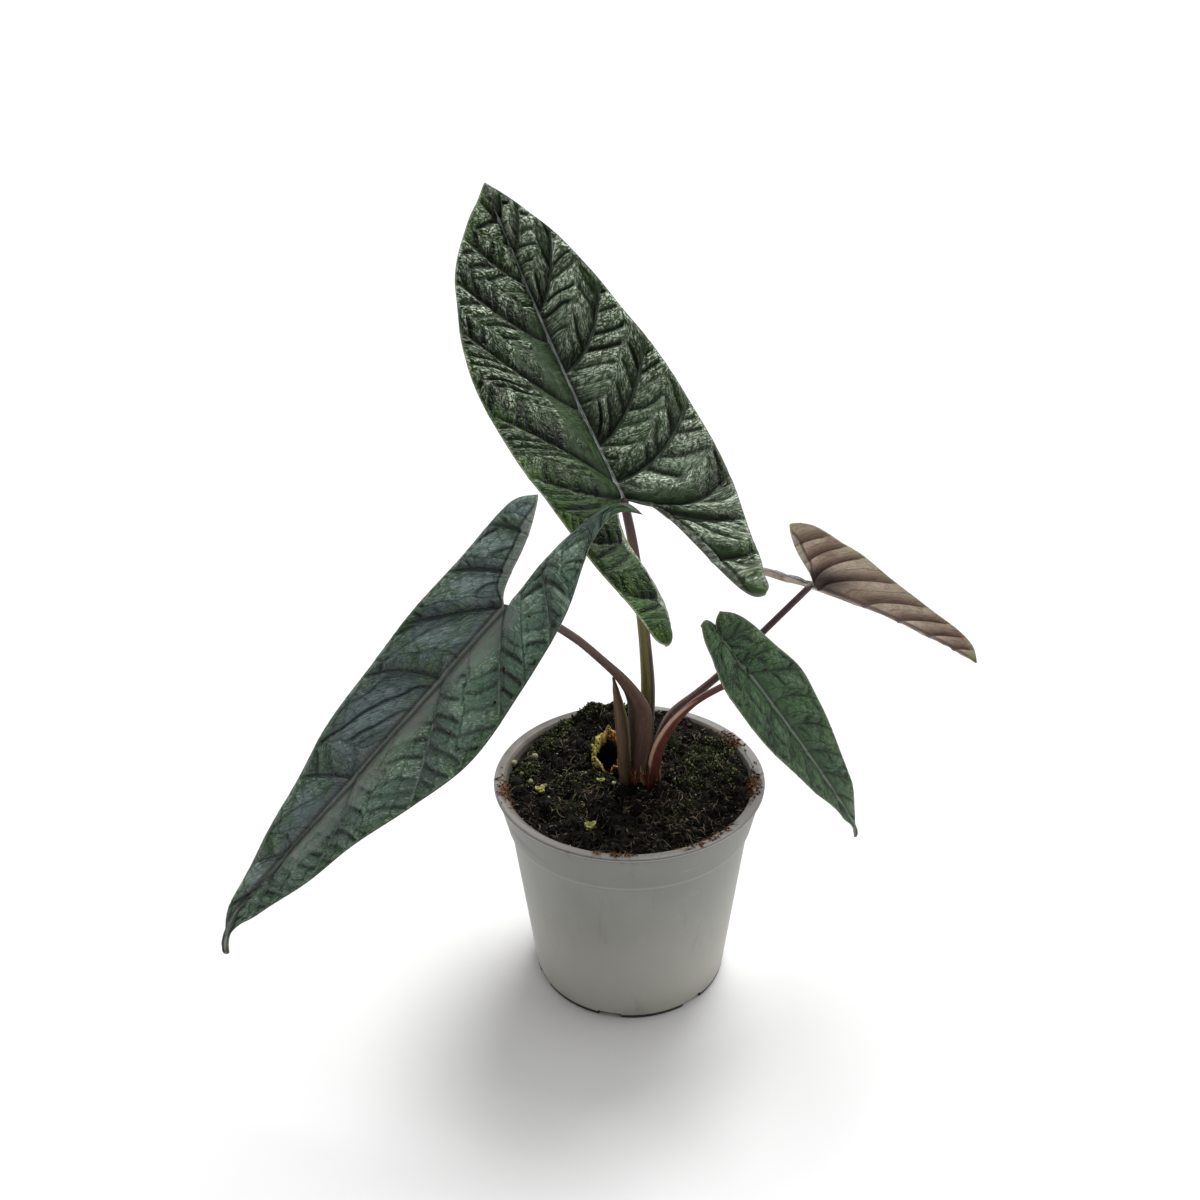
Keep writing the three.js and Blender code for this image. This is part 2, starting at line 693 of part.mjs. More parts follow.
function bladeGeometry(blade, margin) {
  const points = [];
  const faces = [];
  const shared = new Map();
  const junctionRow = (blade.right.lobeLaterals.length + 1) * rowsPerLateral;
  const lastRow = junctionRow + blade.lateralStarts.length * rowsPerLateral;
  const surfaces = { right: bladeSurface(blade, blade.right, 1), left: bladeSurface(blade, blade.left, -1) };

  function surfaceNormal(name, distance, out) {
    const surface = surfaces[name];
    const reach = 0.2;
    const ahead = surface(distance + reach, out).sub(surface(distance - reach, out));
    const outwards = surface(distance, out + reach).sub(surface(distance, out - reach));
    const normal = outwards.cross(ahead).normalize();
    return name === 'right' ? normal : normal.negate();
  }

  function vertex(name, row, column, { distance, out, relief }) {
    const onMidrib = column === 0 && row >= junctionRow;
    const onTip = row === 0 || row === lastRow;
    const owner = onMidrib || row === lastRow ? 'both' : name;
    const key = `${owner} ${row} ${onTip ? 0 : column}`;
    if (!shared.has(key)) {
      const normal = surfaceNormal(name, distance, out);
      if (owner === 'both') {
        normal.add(surfaceNormal(name === 'right' ? 'left' : 'right', distance, out)).normalize();
      }
      const rib = onMidrib ? midribDepth * (1 - distance / blade.length) : 0;
      const middle = surfaces[name](distance, out).addScaledVector(normal, relief);
      const half = bladeThickness / 2 + margin;
      shared.set(key, points.length);
      points.push([
        middle.clone().addScaledVector(normal, half),
        middle.clone().addScaledVector(normal, -half - rib),
      ]);
    }
    return shared.get(key);
  }

  for (const [name, half] of [['right', blade.right], ['left', blade.left]]) {
    const layout = halfLayout(blade, half);
    const at = (row, column) => {
      const flat = layout(row / rowsPerLateral, column / blade.columns);
      return vertex(name, row, column, flat);
    };
    for (let row = 0; row < lastRow; row += 1) {
      for (let column = 0; column < blade.columns; column += 1) {
        const near = at(row, column);
        const far = at(row, column + 1);
        const nextNear = at(row + 1, column);
        const nextFar = at(row + 1, column + 1);
        for (const face of [[near, far, nextFar], [near, nextFar, nextNear]]) {
          if (new Set(face).size === 3) {
            faces.push(name === 'right' ? face : [face[0], face[2], face[1]]);
          }
        }
      }
    }
  }
  return thickened(points, faces);
}

// A closed sheet from pairs of upper and lower points: both faces, and walls along every free edge.
function thickened(pairs, faces) {
  const count = pairs.length;
  const points = [...pairs.map(([upper]) => upper), ...pairs.map(([, lower]) => lower)];
  const edges = new Set(faces.flatMap(([i, j, k]) => [`${i} ${j}`, `${j} ${k}`, `${k} ${i}`]));
  const closed = [...faces, ...faces.map(([i, j, k]) => [i + count, k + count, j + count])];
  for (const edge of edges) {
    const [from, to] = edge.split(' ').map(Number);
    if (!edges.has(`${to} ${from}`)) {
      closed.push([from, from + count, to + count], [from, to + count, to]);
    }
  }
  return geometryFrom(points, closed);
}

// A blade grown on every side by the clearance, to cut the stalk's end to its seat under the blade.
function bladeCutter(blade) {
  const grown = solidFrom(bladeGeometry(blade, clearance));
  const { forward } = firstFrame(blade);
  const backwards = forward.clone().multiplyScalar(-2 * clearance);
  return grown.add(grown.translate(backwards.toArray()));
}

// Crown: a low collar of dead bract bases that breaks up into red-brown fibres round the stalks.
function crownSolid() {
  const collar = roundBody(crown.centre, [
    fixedRow(0, crown.bottom),
    fixedRow(crown.radius - 0.8, crown.bottom),
    (angle) => [crown.radius - 0.3 + 0.3 * Math.sin(5 * angle), crown.bottom + 4],
    (angle) => [crown.radius - 1.2 + 0.4 * Math.sin(7 * angle + 1), crown.shoulder - 2 + Math.sin(3 * angle)],
    (angle) => [crown.radius - 2.6, crown.shoulder + 1.2 * Math.sin(4 * angle)],
    fixedRow(0, crown.shoulder + 1),
  ], 20);
  const random = seededRandom(5);
  const parts = [solidFrom(collar)];
  for (let fibre = 0; fibre < crown.fibres; fibre += 1) {
    const angle = ((fibre + 0.5 * random()) / crown.fibres) * fullTurn;
    const radius = crown.radius - mix(1.2, 2.2, random());
    const lean = mix(-1.4, 1.2, random());
    const rise = crown.fibreRise * mix(0.45, 1, random());
    const place = (distance, turn, height) => new THREE.Vector3(
      crown.centre[0] + distance * Math.cos(angle + turn),
      crown.centre[1] + distance * Math.sin(angle + turn),
      height,
    );
    const path = new THREE.CatmullRomCurve3([
      place(radius, 0, crown.bottom + 3),
      place(radius + lean * 0.3, 0.05, crown.shoulder),
      place(radius + lean, mix(-0.25, 0.25, random()), crown.shoulder + rise),
    ]);
    const ring = (t) => {
      const size = crown.fibreRadius * mix(1, 0.35, t);
      return circle(size * 1.3, size * 0.8, 4, 0);
    };
    parts.push(solidFrom(sweep(path, 3, new THREE.Vector3(Math.cos(angle), Math.sin(angle), 0), ring)));
  }
  return joined(parts);
}

// Bract: one thin dry sheath leaf, a curved strip that narrows to its tip.
function bractSolid() {
  const path = new THREE.CatmullRomCurve3(bract.path.map(vector));
  const section = (t) => {
    const halfWidth = along(bract.halfWidth, t);
    const steps = 4;
    const outerEdge = [];
    const innerEdge = [];
    for (let step = 0; step <= steps; step += 1) {
      const share = (step / steps) * 2 - 1;
      const depth = 0.45 * halfWidth * (1 - share * share);
      const edge = bract.thickness * (1 - 0.3 * share * share);
      outerEdge.push([-share * halfWidth, -depth]);
      innerEdge.unshift([-share * halfWidth, -depth + edge]);
    }
    return [...outerEdge, ...innerEdge].reverse();
  };
  return solidFrom(sweep(path, 12, vector(bract.facing), section));
}

// Stub: the withered, hollow base of an old stalk, open at the top and low in front.
function stubSolid() {
  const lift = (angle) => {
    const back = (1 + Math.sin(angle)) / 2;
    const ragged = 0.9 * Math.sin(5 * angle + 0.6) + 0.5 * Math.sin(9 * angle);
    return mix(stub.frontHeight, stub.backHeight, back ** 1.5) + ragged;
  };
  const wavy = (angle) => 1 + 0.06 * Math.sin(4 * angle + 0.5);
  const wallRow = (inset, share) => (angle) => {
    const height = mix(stub.bottom + (inset > 0 ? stub.wall : 0), lift(angle), share);
    return [(stub.radius - inset) * (wavy(angle) - 0.1 * share * share), height];
  };
  return solidFrom(roundBody(stub.centre, [
    fixedRow(0, stub.bottom),
    wallRow(0, 0),
    wallRow(0, 0.5),
    wallRow(0, 1),
    wallRow(stub.wall, 1),
    wallRow(stub.wall, 0.5),
    wallRow(stub.wall, 0),
    fixedRow(0, stub.bottom + stub.wall),
  ], stub.segments));
}

// Sprouts: seedlings of two or three cupped leaflets on a short stem.
function sproutSolid({ place: [x, y], size, leaflets }) {
  const ground = soilHeight(x, y);
  const stemLength = sproutRoot + 1 + size;
  const stem = new THREE.CylinderGeometry(size * 0.22, size * 0.3, stemLength, 7);
  stem.rotateX(Math.PI / 2);
  stem.translate(x, y, ground - sproutRoot + stemLength / 2);
  const parts = [solidFrom(stem)];
  for (let leaflet = 0; leaflet < leaflets; leaflet += 1) {
    const angle = (leaflet / leaflets) * fullTurn + x;
    const lobe = new THREE.SphereGeometry(size * 0.85, 8, 5);
    lobe.scale(1, 0.75, 0.45);
    lobe.translate(size * 0.62, 0, 0);
    lobe.rotateY(-0.5);
    lobe.rotateZ(angle);
    lobe.translate(x, y, ground + size * 0.9 + leaflet * 0.3);
    parts.push(solidFrom(lobe));
  }
  return joined(parts);
}

function plainHole([x, y], radius, bottom) {
  const depth = 40;
  const drill = new THREE.CylinderGeometry(radius, radius, depth, 20);
  drill.rotateX(Math.PI / 2);
  drill.translate(x, y, bottom + depth / 2);
  return solidFrom(drill);
}

// Colours and finishes
function material(color, roughness) {
  return new THREE.MeshStandardMaterial({ color, roughness, metalness: 0 });
}

const materials = {
  pot: material('#b9b6b0', 0.5),
  soil: material('#2a2019', 0.95),
  rhizome: material('#8a6a4c', 0.85),
  crown: material('#5b3526', 0.85),
  bladeDark: material('#2f4434', 0.5),
  bladeSlate: material('#414f4a', 0.5),
  bladeUnderside: material('#75645a', 0.6),
  bladeGreen: material('#39543f', 0.5),
  stalk: material('#54403a', 0.55),
  bract: material('#7d6a55', 0.7),
  stub: material('#b98a3d', 0.85),
  sprout: material('#a9b64a', 0.6),
};

// Assembly: pieces that meet are cut back from each other, so each keeps its own clear surface.
const plant = new THREE.Group();

function addPiece(name, geometry, finish) {
  const mesh = new THREE.Mesh(geometry, finish);
  mesh.name = name;
  plant.add(mesh);
}

const bladeMaterials = {
  a: materials.bladeDark,
  b: materials.bladeSlate,
  c: materials.bladeUnderside,
  d: materials.bladeGreen,
};

const order = ['a', 'b', 'd', 'c'];
const grownStalks = {};
for (const name of order) {
  grownStalks[name] = stalkSolid(stalks[name], clearance);
  let solid = stalkSolid(stalks[name], 0);
  for (const earlier of order.slice(0, order.indexOf(name))) {
    solid = solid.subtract(grownStalks[earlier]);
  }
  solid = solid.subtract(bladeCutter(blades[name]));
  addPiece(`stalk_${name}`, geometryOf(largestBody(solid)), materials.stalk);
  addPiece(`blade_${name}`, bladeGeometry(blades[name], 0), bladeMaterials[name]);
}
const allStalks = joined(Object.values(grownStalks));

const bractPiece = largestBody(bractSolid().subtract(allStalks));
addPiece('bract', geometryOf(bractPiece), materials.bract);

const crownHole = plainHole(crown.centre, crown.radius + crown.holeClearance, crown.bottom - clearance);
const [bractX, bractY, bractBottom] = bract.path[0];
const bractHole = plainHole([bractX, bractY], bract.holeRadius, bractBottom - clearance);
const crownPiece = largestBody(crownSolid().subtract(allStalks).subtract(bractHole));
addPiece('crown', geometryOf(crownPiece), materials.crown);
addPiece('stub', geometryOf(stubSolid()), materials.stub);
addPiece('rhizome', geometryOf(rhizomeSolid(0)), materials.rhizome);

let soilPiece = soilSolid()
  .subtract(rhizomeSolid(clearance))
  .subtract(allStalks)
  .subtract(crownHole)
  .subtract(bractHole)
  .subtract(plainHole(stub.centre, stub.radius * 1.06 + clearance, stub.bottom - clearance));
for (const [name, sprout] of Object.entries(sprouts)) {
  const [x, y] = sprout.place;
  const holeBottom = soilHeight(x, y) - sproutRoot - clearance;
  soilPiece = soilPiece.subtract(plainHole(sprout.place, sprout.size * 0.3 + clearance, holeBottom));
  addPiece(`sprout_${name}`, geometryOf(sproutSolid(sprout)), materials.sprout);
}
addPiece('soil', geometryOf(largestBody(soilPiece)), materials.soil);
addPiece('pot', geometryOf(potSolid()), materials.pot);

// The origin lies on the ground, under the middle of the whole plant.
const box = new THREE.Box3().setFromObject(plant);
const middle = box.getCenter(new THREE.Vector3());
plant.position.set(-middle.x, -middle.y, -box.min.z);
plant.updateMatrixWorld(true);

export default plant;
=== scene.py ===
# A potted alocasia scalprum: fine meshes, procedural materials, studio light and a camera, round the
# fixed frame. Lengths in this script are millimetres from the pot's axis, with z = 0 on the ground,
# and mesh_piece turns them into metres in the frame.
import math

import bmesh
import bpy
import numpy as np
from mathutils import Matrix, Vector


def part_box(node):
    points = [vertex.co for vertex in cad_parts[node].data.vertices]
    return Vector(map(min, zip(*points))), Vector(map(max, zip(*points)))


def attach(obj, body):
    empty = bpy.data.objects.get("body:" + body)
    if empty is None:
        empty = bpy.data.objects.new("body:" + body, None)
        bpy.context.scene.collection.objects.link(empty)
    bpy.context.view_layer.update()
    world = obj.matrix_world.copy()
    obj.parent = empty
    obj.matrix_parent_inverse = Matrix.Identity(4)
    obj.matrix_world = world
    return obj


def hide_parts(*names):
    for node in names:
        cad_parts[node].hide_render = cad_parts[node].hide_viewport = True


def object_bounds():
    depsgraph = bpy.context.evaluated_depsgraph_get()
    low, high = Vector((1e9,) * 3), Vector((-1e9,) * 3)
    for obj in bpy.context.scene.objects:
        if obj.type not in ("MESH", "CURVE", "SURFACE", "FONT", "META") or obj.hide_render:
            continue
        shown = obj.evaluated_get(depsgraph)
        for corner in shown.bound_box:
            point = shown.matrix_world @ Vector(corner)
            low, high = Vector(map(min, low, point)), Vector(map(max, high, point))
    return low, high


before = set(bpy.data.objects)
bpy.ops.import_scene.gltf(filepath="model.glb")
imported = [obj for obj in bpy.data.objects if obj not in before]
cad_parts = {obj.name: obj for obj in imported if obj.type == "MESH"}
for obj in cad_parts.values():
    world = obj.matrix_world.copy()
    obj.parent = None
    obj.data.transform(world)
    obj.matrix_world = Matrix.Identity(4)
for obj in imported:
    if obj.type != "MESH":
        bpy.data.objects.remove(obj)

cad_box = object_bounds()
pot_low, pot_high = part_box("pot")
POT_AXIS = np.array([(pot_low.x + pot_high.x) / 2, (pot_low.y + pot_high.y) / 2, 0.0])
MILLIMETRE = 0.001

# Pot, with the driving sizes of its solid, apart from a thinner lip and shallower notches in the foot
RIM_RADIUS = 60
POT_HEIGHT = 101
COLLAR_RADIUS = 55
COLLAR_HEIGHT = 81.5
BASE_RADIUS = 44.3
WALL = 1.5
LIP_BOTTOM = 99.5
FLOOR_UNDERSIDE = 4
FLOOR_TOP = 5.6
FOOT_WIDTH = 3.3
NOTCHES = 7
NOTCH_WIDTH = 12
NOTCH_HEIGHT = 2.8
NOTCH_DEPTH = 2.6
FIRST_NOTCH_ANGLE = -102
DRAIN_HOLES = 8
DRAIN_RADIUS = 4
DRAIN_CIRCLE = 30
POT_SEGMENTS = 240

# Soil, with heaps behind the stalks: centre, spread sideways and in depth, and height
SOIL_EDGE = 95.6
SOIL_MOUND = 3.2
SOIL_LUMP = 1.1
SOIL_CLEARANCE = 0.15
SOIL_HEAPS = [((-11, 45), (15, 8.5), 8.5), ((19, 44), (13, 8), 4.0)]

# Crown, bract and stub
CROWN_CENTRE = (6.2, 0.6)
CROWN_RADIUS = 8.4
CROWN_BOTTOM = 93.5
CROWN_SHOULDER = 102
STUB_CENTRE = (-9.4, 10.6)
STUB_RADIUS = 6.6
STUB_BOTTOM = 92.4
STUB_FRONT = 99.5
STUB_BACK = 114
STUB_WALL = 1.1

BRACT = {
    "path": [(-1.6, -4.4, 94), (-1.9, -6, 112), (-2.8, -8, 131), (-4.6, -11, 146), (-6.2, -15, 159)],
    "width": [2.4, 3.4, 3.4, 2.2, 0.5],
    "facing": (-0.6, 0.8, 0),
    "thickness": 0.8,
}

SPROUTS = {
    "left": {"place": (-38.7, -9.9), "size": 2.6, "leaflets": 3},
    "front": {"place": (-16.4, -36.9), "size": 2.8, "leaflets": 3},
    "middle": {"place": (-12.4, -6), "size": 2, "leaflets": 2},
}

# Blades, drawn flat as points (along the midrib from the stalk, out from the midrib). The outer margin
# runs from the apex back to the lobe's tip and the inner margin from there to the stalk. A lobe lateral
# is (start, end, bow): shares of the inner and the outer margin, and how far it bows back. A lateral is
# (end, bow, strength), and lateral_starts says where each leaves the midrib; one with no strength only
# guides the mesh. Angles are in degrees.
BLADE_THICKNESS = 0.8
MIDRIB_DEPTH = 1.1
HOOK_START = 0.86
FRAME_STEP = 3.0
# Only the near half of leaf C shows in the photograph, and its far half has the same outline and veins.
LEAF_C_HALF = {
    "costa": 3,
    "outer": [
        (95.9, 0), (92.5, 2.3), (86, 5.8), (73.5, 8.9), (58, 10.8), (42.7, 13.6),
        (27.5, 17), (12.6, 21), (-2.8, 24), (-15.5, 26.2), (-23.2, 25.5), (-27.7, 23),
    ],
    "inner": [
        (-27.7, 23), (-25, 19.7), (-20.5, 15.3), (-15, 10.9), (-9, 7), (-3.6, 3.5), (0, 0),
    ],
    "lobe_laterals": [(0.36, 0.16, 1.5), (0.68, 0.24, 2.5)],
    "laterals": [
        (0.328, 5, 1), (0.5, 5, 1), (0.667, 3.5, 1), (0.784, 1, 1), (0.875, 1, 1), (0.94, 0.5, 1),
    ],
}
BLADES = {
    "a": {
        "junction": (-1.9, -5.7, 234.9), "length": 152, "heading": -31.6, "rise": 38, "roll": 5.2,
        "bend": 13.3, "bend_change": 0, "sway": -0.5, "twist": -27.8, "hook": 3.6,
        "lobe_twist": -2, "lobe_sway": -1.2, "relief": 2.2,
        "lateral_starts": [0, 7, 24, 42, 60, 75, 89, 103, 117, 133],
        "right": {
            "fold": 27.9, "arch": 16.3, "droop": -53, "costa": 4,
            "outer": [
                (152, 0), (144.4, 5.4), (132.3, 12.4), (111.6, 22.3), (84.8, 30.5), (58.1, 37.5),
                (30.8, 42.8), (3, 45.2), (-24.2, 41.2), (-46.5, 35.1), (-58.6, 30), (-64.5, 28), (-67, 24.7),
            ],
            "inner": [
                (-67, 24.7), (-65.8, 21.3), (-60.5, 18.8), (-46.5, 17.2), (-32.3, 15.6), (-17.8, 12.6),
                (-5.8, 7.1), (0, 0),
            ],
            "lobe_laterals": [(0.38, 0.1, 2), (0.74, 0.18, 3)],
            "laterals": [
                (0.28, 10.8, 1), (0.44, 7.5, 1), (0.575, 7.5, 1), (0.645, 8, 0), (0.705, 8, 1),
                (0.775, 7, 0), (0.84, 6.5, 1), (0.88, 5, 0), (0.92, 4, 0.8), (0.965, 2.5, 0.5),
            ],
        },
        "left": {
            "fold": 25.1, "arch": 17.6, "droop": -14, "costa": 4.5,
            "outer": [
                (152, 0), (144.4, 5.7), (133.8, 14.9), (114.1, 27.9), (87.9, 37.1), (60.6, 43.6),
                (32.3, 43.8), (4, 43.1), (-23.2, 36.3), (-46, 30.6), (-60.1, 28), (-66.6, 26.5), (-69, 22.5),
            ],
            "inner": [
                (-69, 22.5), (-67.8, 19.2), (-63, 15.8), (-50, 9.8), (-34.8, 9.9), (-20.2, 11.6),
                (-7.4, 7.6), (0, 0),
            ],
            "lobe_laterals": [(0.33, 0.11, 2), (0.68, 0.22, 3)],
            "laterals": [
                (0.35, 5.5, 1), (0.49, 3, 0.8), (0.6, 6, 0), (0.67, 9, 0.8), (0.725, 9, 0),
                (0.775, 8, 0.8), (0.82, 7, 0), (0.87, 5, 0.8), (0.915, 4, 0), (0.96, 2.5, 0.6),
            ],
        },
    },
    "b": {
        "junction": (-45.5, -54.1, 211.2), "length": 190.4, "heading": -102.2, "rise": -47.9, "roll": -43.9,
        "bend": -3.2, "bend_change": -4.1, "sway": 3.1, "twist": -3, "hook": -48,
        "lobe_twist": 0.3, "lobe_sway": -0.6, "relief": 2.5,
        "lateral_starts": [0, 37, 64, 91, 113, 136, 159],
        "right": {
            "fold": 15.9, "arch": 24.2, "droop": 3, "costa": 3.5,
            "outer": [
                (190.4, 0), (186, 0.5), (181.9, 1.6), (175, 3.4), (167.9, 5.2), (145.2, 9.8), (117.2, 15.2),
                (89.7, 20.7),
                (61.8, 24), (33.8, 25.3), (5.8, 25.3), (-17.9, 24.7), (-31.8, 23.2), (-39.2, 17.9),
            ],
            "inner": [
                (-39.2, 17.9), (-35, 14.9), (-28, 11.3), (-20, 8.4), (-11.6, 6.2), (-4.3, 3.5), (0, 0),
            ],
            "lobe_laterals": [(0.35, 0.1, 1.5), (0.7, 0.2, 1.5)],
            "laterals": [
                (0.318, 1.2, 1), (0.43, 4, 1), (0.545, 3, 0), (0.64, 2, 1), (0.735, 2, 0),
                (0.83, 2, 0.5), (0.92, 1, 0.8),
            ],
        },
        "left": {
            "fold": 14.9, "arch": 24.6, "droop": 3.2, "costa": 3.5,
            "outer": [
                (190.4, 0), (186, 0.4), (180.9, 1.2), (174, 3.8), (166.5, 6.6), (140.9, 13.2), (109.5, 18.7),
                (78.6, 25.8),
                (47.3, 31.7), (15.4, 28.7), (-15.4, 21.4), (-39.6, 11.1), (-54, 10.4), (-60.6, 18.2),
            ],
            "inner": [
                (-60.6, 18.2), (-58.9, 9.7), (-48.2, 3.4), (-35.2, 0.6), (-21.2, -0.4), (-9, 0.4), (0, 0),
            ],
            "lobe_laterals": [(0.35, 0.12, 2), (0.7, 0.24, 2)],
            "laterals": [
                (0.37, 0, 1), (0.56, 5, 1), (0.665, 6, 0), (0.765, 7, 1), (0.845, 5, 0),
                (0.91, 3, 1), (0.955, 1.5, 0.5),
            ],
        },
    },
    "c": {
        "junction": (78.5, 20, 185), "length": 95.9, "heading": 74.2, "rise": -26.2, "roll": -52.5,
        "bend": -9.8, "bend_change": -1.3, "sway": -2.8, "twist": 1.8, "hook": -7.1,
        "lobe_twist": 0.2, "lobe_sway": 0, "relief": 0.8,
        "lateral_starts": [0, 4, 28.6, 48, 66, 81],
        "right": {"fold": 27.8, "arch": 14.3, "droop": 2.6, **LEAF_C_HALF},
        "left": {"fold": 37.4, "arch": 14.2, "droop": 3, **LEAF_C_HALF},
    },
    "d": {
        "junction": (47.6, -30, 169.2), "length": 110.2, "heading": 82.9, "rise": -56, "roll": 55.9,
        "bend": -11.2, "bend_change": -6.2, "sway": -2.9, "twist": 3.1, "hook": 25.5,
        "lobe_twist": -1.3, "lobe_sway": -0.7, "relief": 1.1,
        "lateral_starts": [0, 19, 33, 48, 63, 78, 92],
        "right": {
            "fold": 20.2, "arch": 16.8, "droop": 1.1, "costa": 2.5,
            "outer": [
                (110.2, 0), (106, 0.35), (101, 1.1), (96, 2.2), (81, 4.8), (64, 8.7), (46.5, 12.1),
                (29, 14.6), (11, 16), (-6.7, 14.6), (-19, 11), (-27, 8.4), (-31.8, 4.6),
            ],
            "inner": [
                (-31.8, 4.6), (-31.2, 0.6), (-27, -1.4), (-23, -1.5), (-16, -1.2), (-9.6, -0.8),
                (-3.8, -0.3), (0, 0),
            ],
            "lobe_laterals": [(0.45, 0.12, 1), (0.8, 0.22, 1)],
            "laterals": [
                (0.33, 2, 1), (0.46, 3, 1), (0.58, 3, 1), (0.69, 2.5, 1), (0.79, 2, 1),
                (0.88, 1.5, 1), (0.94, 1, 1),
            ],
        },
        "left": {
            "fold": 21.1, "arch": 17.5, "droop": 1.4, "costa": 2.5,
            "outer": [
                (110.2, 0), (106, 0.4), (101, 1.4), (97, 3), (83, 8), (66, 11.4), (49, 14.2),
                (31.6, 17.2), (14.5, 18.6), (-2.7, 15.7), (-16.8, 13), (-25, 10), (-29.7, 6),
            ],
            "inner": [
                (-29.7, 6), (-27.8, 2.5), (-23, -1.5), (-15, -3), (-9, -2.5), (-3.5, -1), (0, 0),
            ],
            "lobe_laterals": [(0.45, 0.12, 1), (0.8, 0.22, 1)],
            "laterals": [
                (0.33, 1, 1), (0.45, 5, 1), (0.56, 4, 1), (0.67, 2.5, 1), (0.77, 2, 1),
                (0.86, 1.5, 1), (0.93, 1, 1),
            ],
        },
    },
}

# How each blade is meshed and quilted. Rows lie between two laterals, and columns across a half. The crest is
# the share of a panel, from its lateral nearer the stalk, where it stands highest. In millimetres follow the
# soft edge of the smooth zone, the swell of the secondary ridges, the depth of the valleys between them and
# the size of the puckers. Each half has its own spacing of the ridges and depth of the puckers. Slants are
# for the side of a panel nearer the stalk, then nearer the apex: how far a ridge runs outwards for each
# millimetre that it leaves its lateral. The two sides meet at a share of the panel. Beside the midrib a half
# is smooth for a width, out to a share of the blade's length, and smooth_panels is for the panels next to
# the stalk.
BLADE_RELIEF = {
    "a": {
        "rows": 28, "columns": 66, "crest": 0.4, "soft_edge": 4.5,
        "swell": 1.1, "depth": 0.9, "pucker_size": 4.2,
        "right": {
            "spacing": 6.4, "slants": (1.5, 0.9), "meeting": 0.42, "pucker": 0.12,
            "smooth": 1.2, "smooth_to": 1.0, "smooth_panels": 1,
        },
        "left": {
            "spacing": 5.6, "slants": (0.4, 1.3), "meeting": 0.45, "pucker": 0.2,
            "smooth": 17, "smooth_to": 0.62, "smooth_panels": 0,
        },
    },
    "b": {
        "rows": 30, "columns": 56, "crest": 0.72, "soft_edge": 5,
        "swell": 0.75, "depth": 0.6, "pucker_size": 5.5,
        "right": {
            "spacing": 8, "slants": (2.6, 0.1), "meeting": 0.66, "pucker": 0.4,
            "smooth": 2, "smooth_to": 1.0, "smooth_panels": 0,
        },
        "left": {
            "spacing": 6.5, "slants": (0.4, 0.1), "meeting": 0.5, "pucker": 0.6,
            "smooth": 8, "smooth_to": 0.8, "smooth_panels": 0,
        },
    },
    "c": {
        "rows": 20, "columns": 32, "crest": 0.68, "soft_edge": 2,
        "swell": 0.22, "depth": 0.15, "pucker_size": 4,
        **dict.fromkeys(("right", "left"), {
            "spacing": 5.5, "slants": (0.9, 1.2), "meeting": 0.5, "pucker": 0.1,
            "smooth": 2, "smooth_to": 1.0, "smooth_panels": 0,
        }),
    },
    "d": {
        "rows": 24, "columns": 36, "crest": 0.66, "soft_edge": 3,
        "swell": 0.4, "depth": 0.35, "pucker_size": 4.2,
        "right": {
            "spacing": 5.5, "slants": (1.1, 0.4), "meeting": 0.6, "pucker": 0.35,
            "smooth": 2.5, "smooth_to": 1.0, "smooth_panels": 0,
        },
        "left": {
            "spacing": 6, "slants": (1.1, 0.4), "meeting": 0.6, "pucker": 0.35,
            "smooth": 4, "smooth_to": 1.0, "smooth_panels": 0,
        },
    },
}

# Stalks, with half widths and half depths at even stations, and how deep the sheathing base is hollowed
STALKS = {
    "a": {
        "path": [
            (6.2, 3.2, 88.3), (7, 3.4, 106), (8, 2, 127), (8.3, 0, 146),
            (7.1, -1.5, 166), (4.8, -3.5, 190), (2, -5, 214.3), (-2.1, -5.6, 236.4),
        ],
        "width": [2.7, 3, 3.2, 3.1, 2.6, 2.3, 2, 1.7],
        "depth": [2.5, 2.8, 2.9, 2.8, 2.5, 2.3, 2, 1.7],
        "groove": [0.2, 0.3, 0.35, 0.3, 0.15, 0, 0, 0],
        "facing": (-0.4, 0.9, 0),
    },
    "b": {
        "path": [
            (3, -1.6, 88.3), (3.4, -3.2, 108), (4.6, -5.5, 128), (3.8, -9, 143.5), (-1.8, -15, 158),
            (-12, -26, 175.5), (-20.7, -34, 188), (-33, -45.5, 202.5), (-46.6, -54.8, 211.9),
        ],
        "width": [3.6, 5, 6.8, 7.2, 5.6, 3.1, 2.1, 1.7, 1.5],
        "depth": [2.2, 2.4, 2.8, 3, 2.6, 2.1, 1.8, 1.6, 1.5],
        "groove": [0.3, 0.5, 0.7, 0.8, 0.7, 0.4, 0.1, 0, 0],
        "facing": (0.6, 0.4, 0.7),
    },
    "c": {
        "path": [
            (9.8, 4.2, 88.3), (11, 5.2, 104), (13.4, 6.6, 117), (19, 8.4, 127.6),
            (30, 12, 135.6), (40.4, 15, 143.6), (57.9, 18, 162.2), (79.4, 20.1, 185.6),
        ],
        "width": [1.8, 2, 2.1, 2.1, 1.9, 1.7, 1.6, 1.4],
        "depth": [1.8, 2, 2.1, 2, 1.8, 1.7, 1.5, 1.4],
        "groove": [0.2, 0.3, 0.3, 0.3, 0.2, 0, 0, 0],
        "facing": (-0.5, 0, 0.9),
    },
    "d": {
        "path": [
            (9.2, -2.4, 88.3), (10.2, -3.6, 104), (12, -5.2, 116), (15.4, -8, 127.4),
            (20.6, -11.6, 138.4), (27.4, -16.4, 148.6), (36.6, -24, 159.4), (48.8, -30.6, 169.6),
        ],
        "width": [2.4, 3.1, 3.7, 3.8, 3.4, 2.3, 1.4, 1.2],
        "depth": [2.2, 2.6, 2.8, 2.7, 2.3, 1.8, 1.4, 1.2],
        "groove": [0.2, 0.5, 0.7, 0.75, 0.7, 0.4, 0, 0],
        "facing": (-0.6, 0.4, 0.7),
    },
}


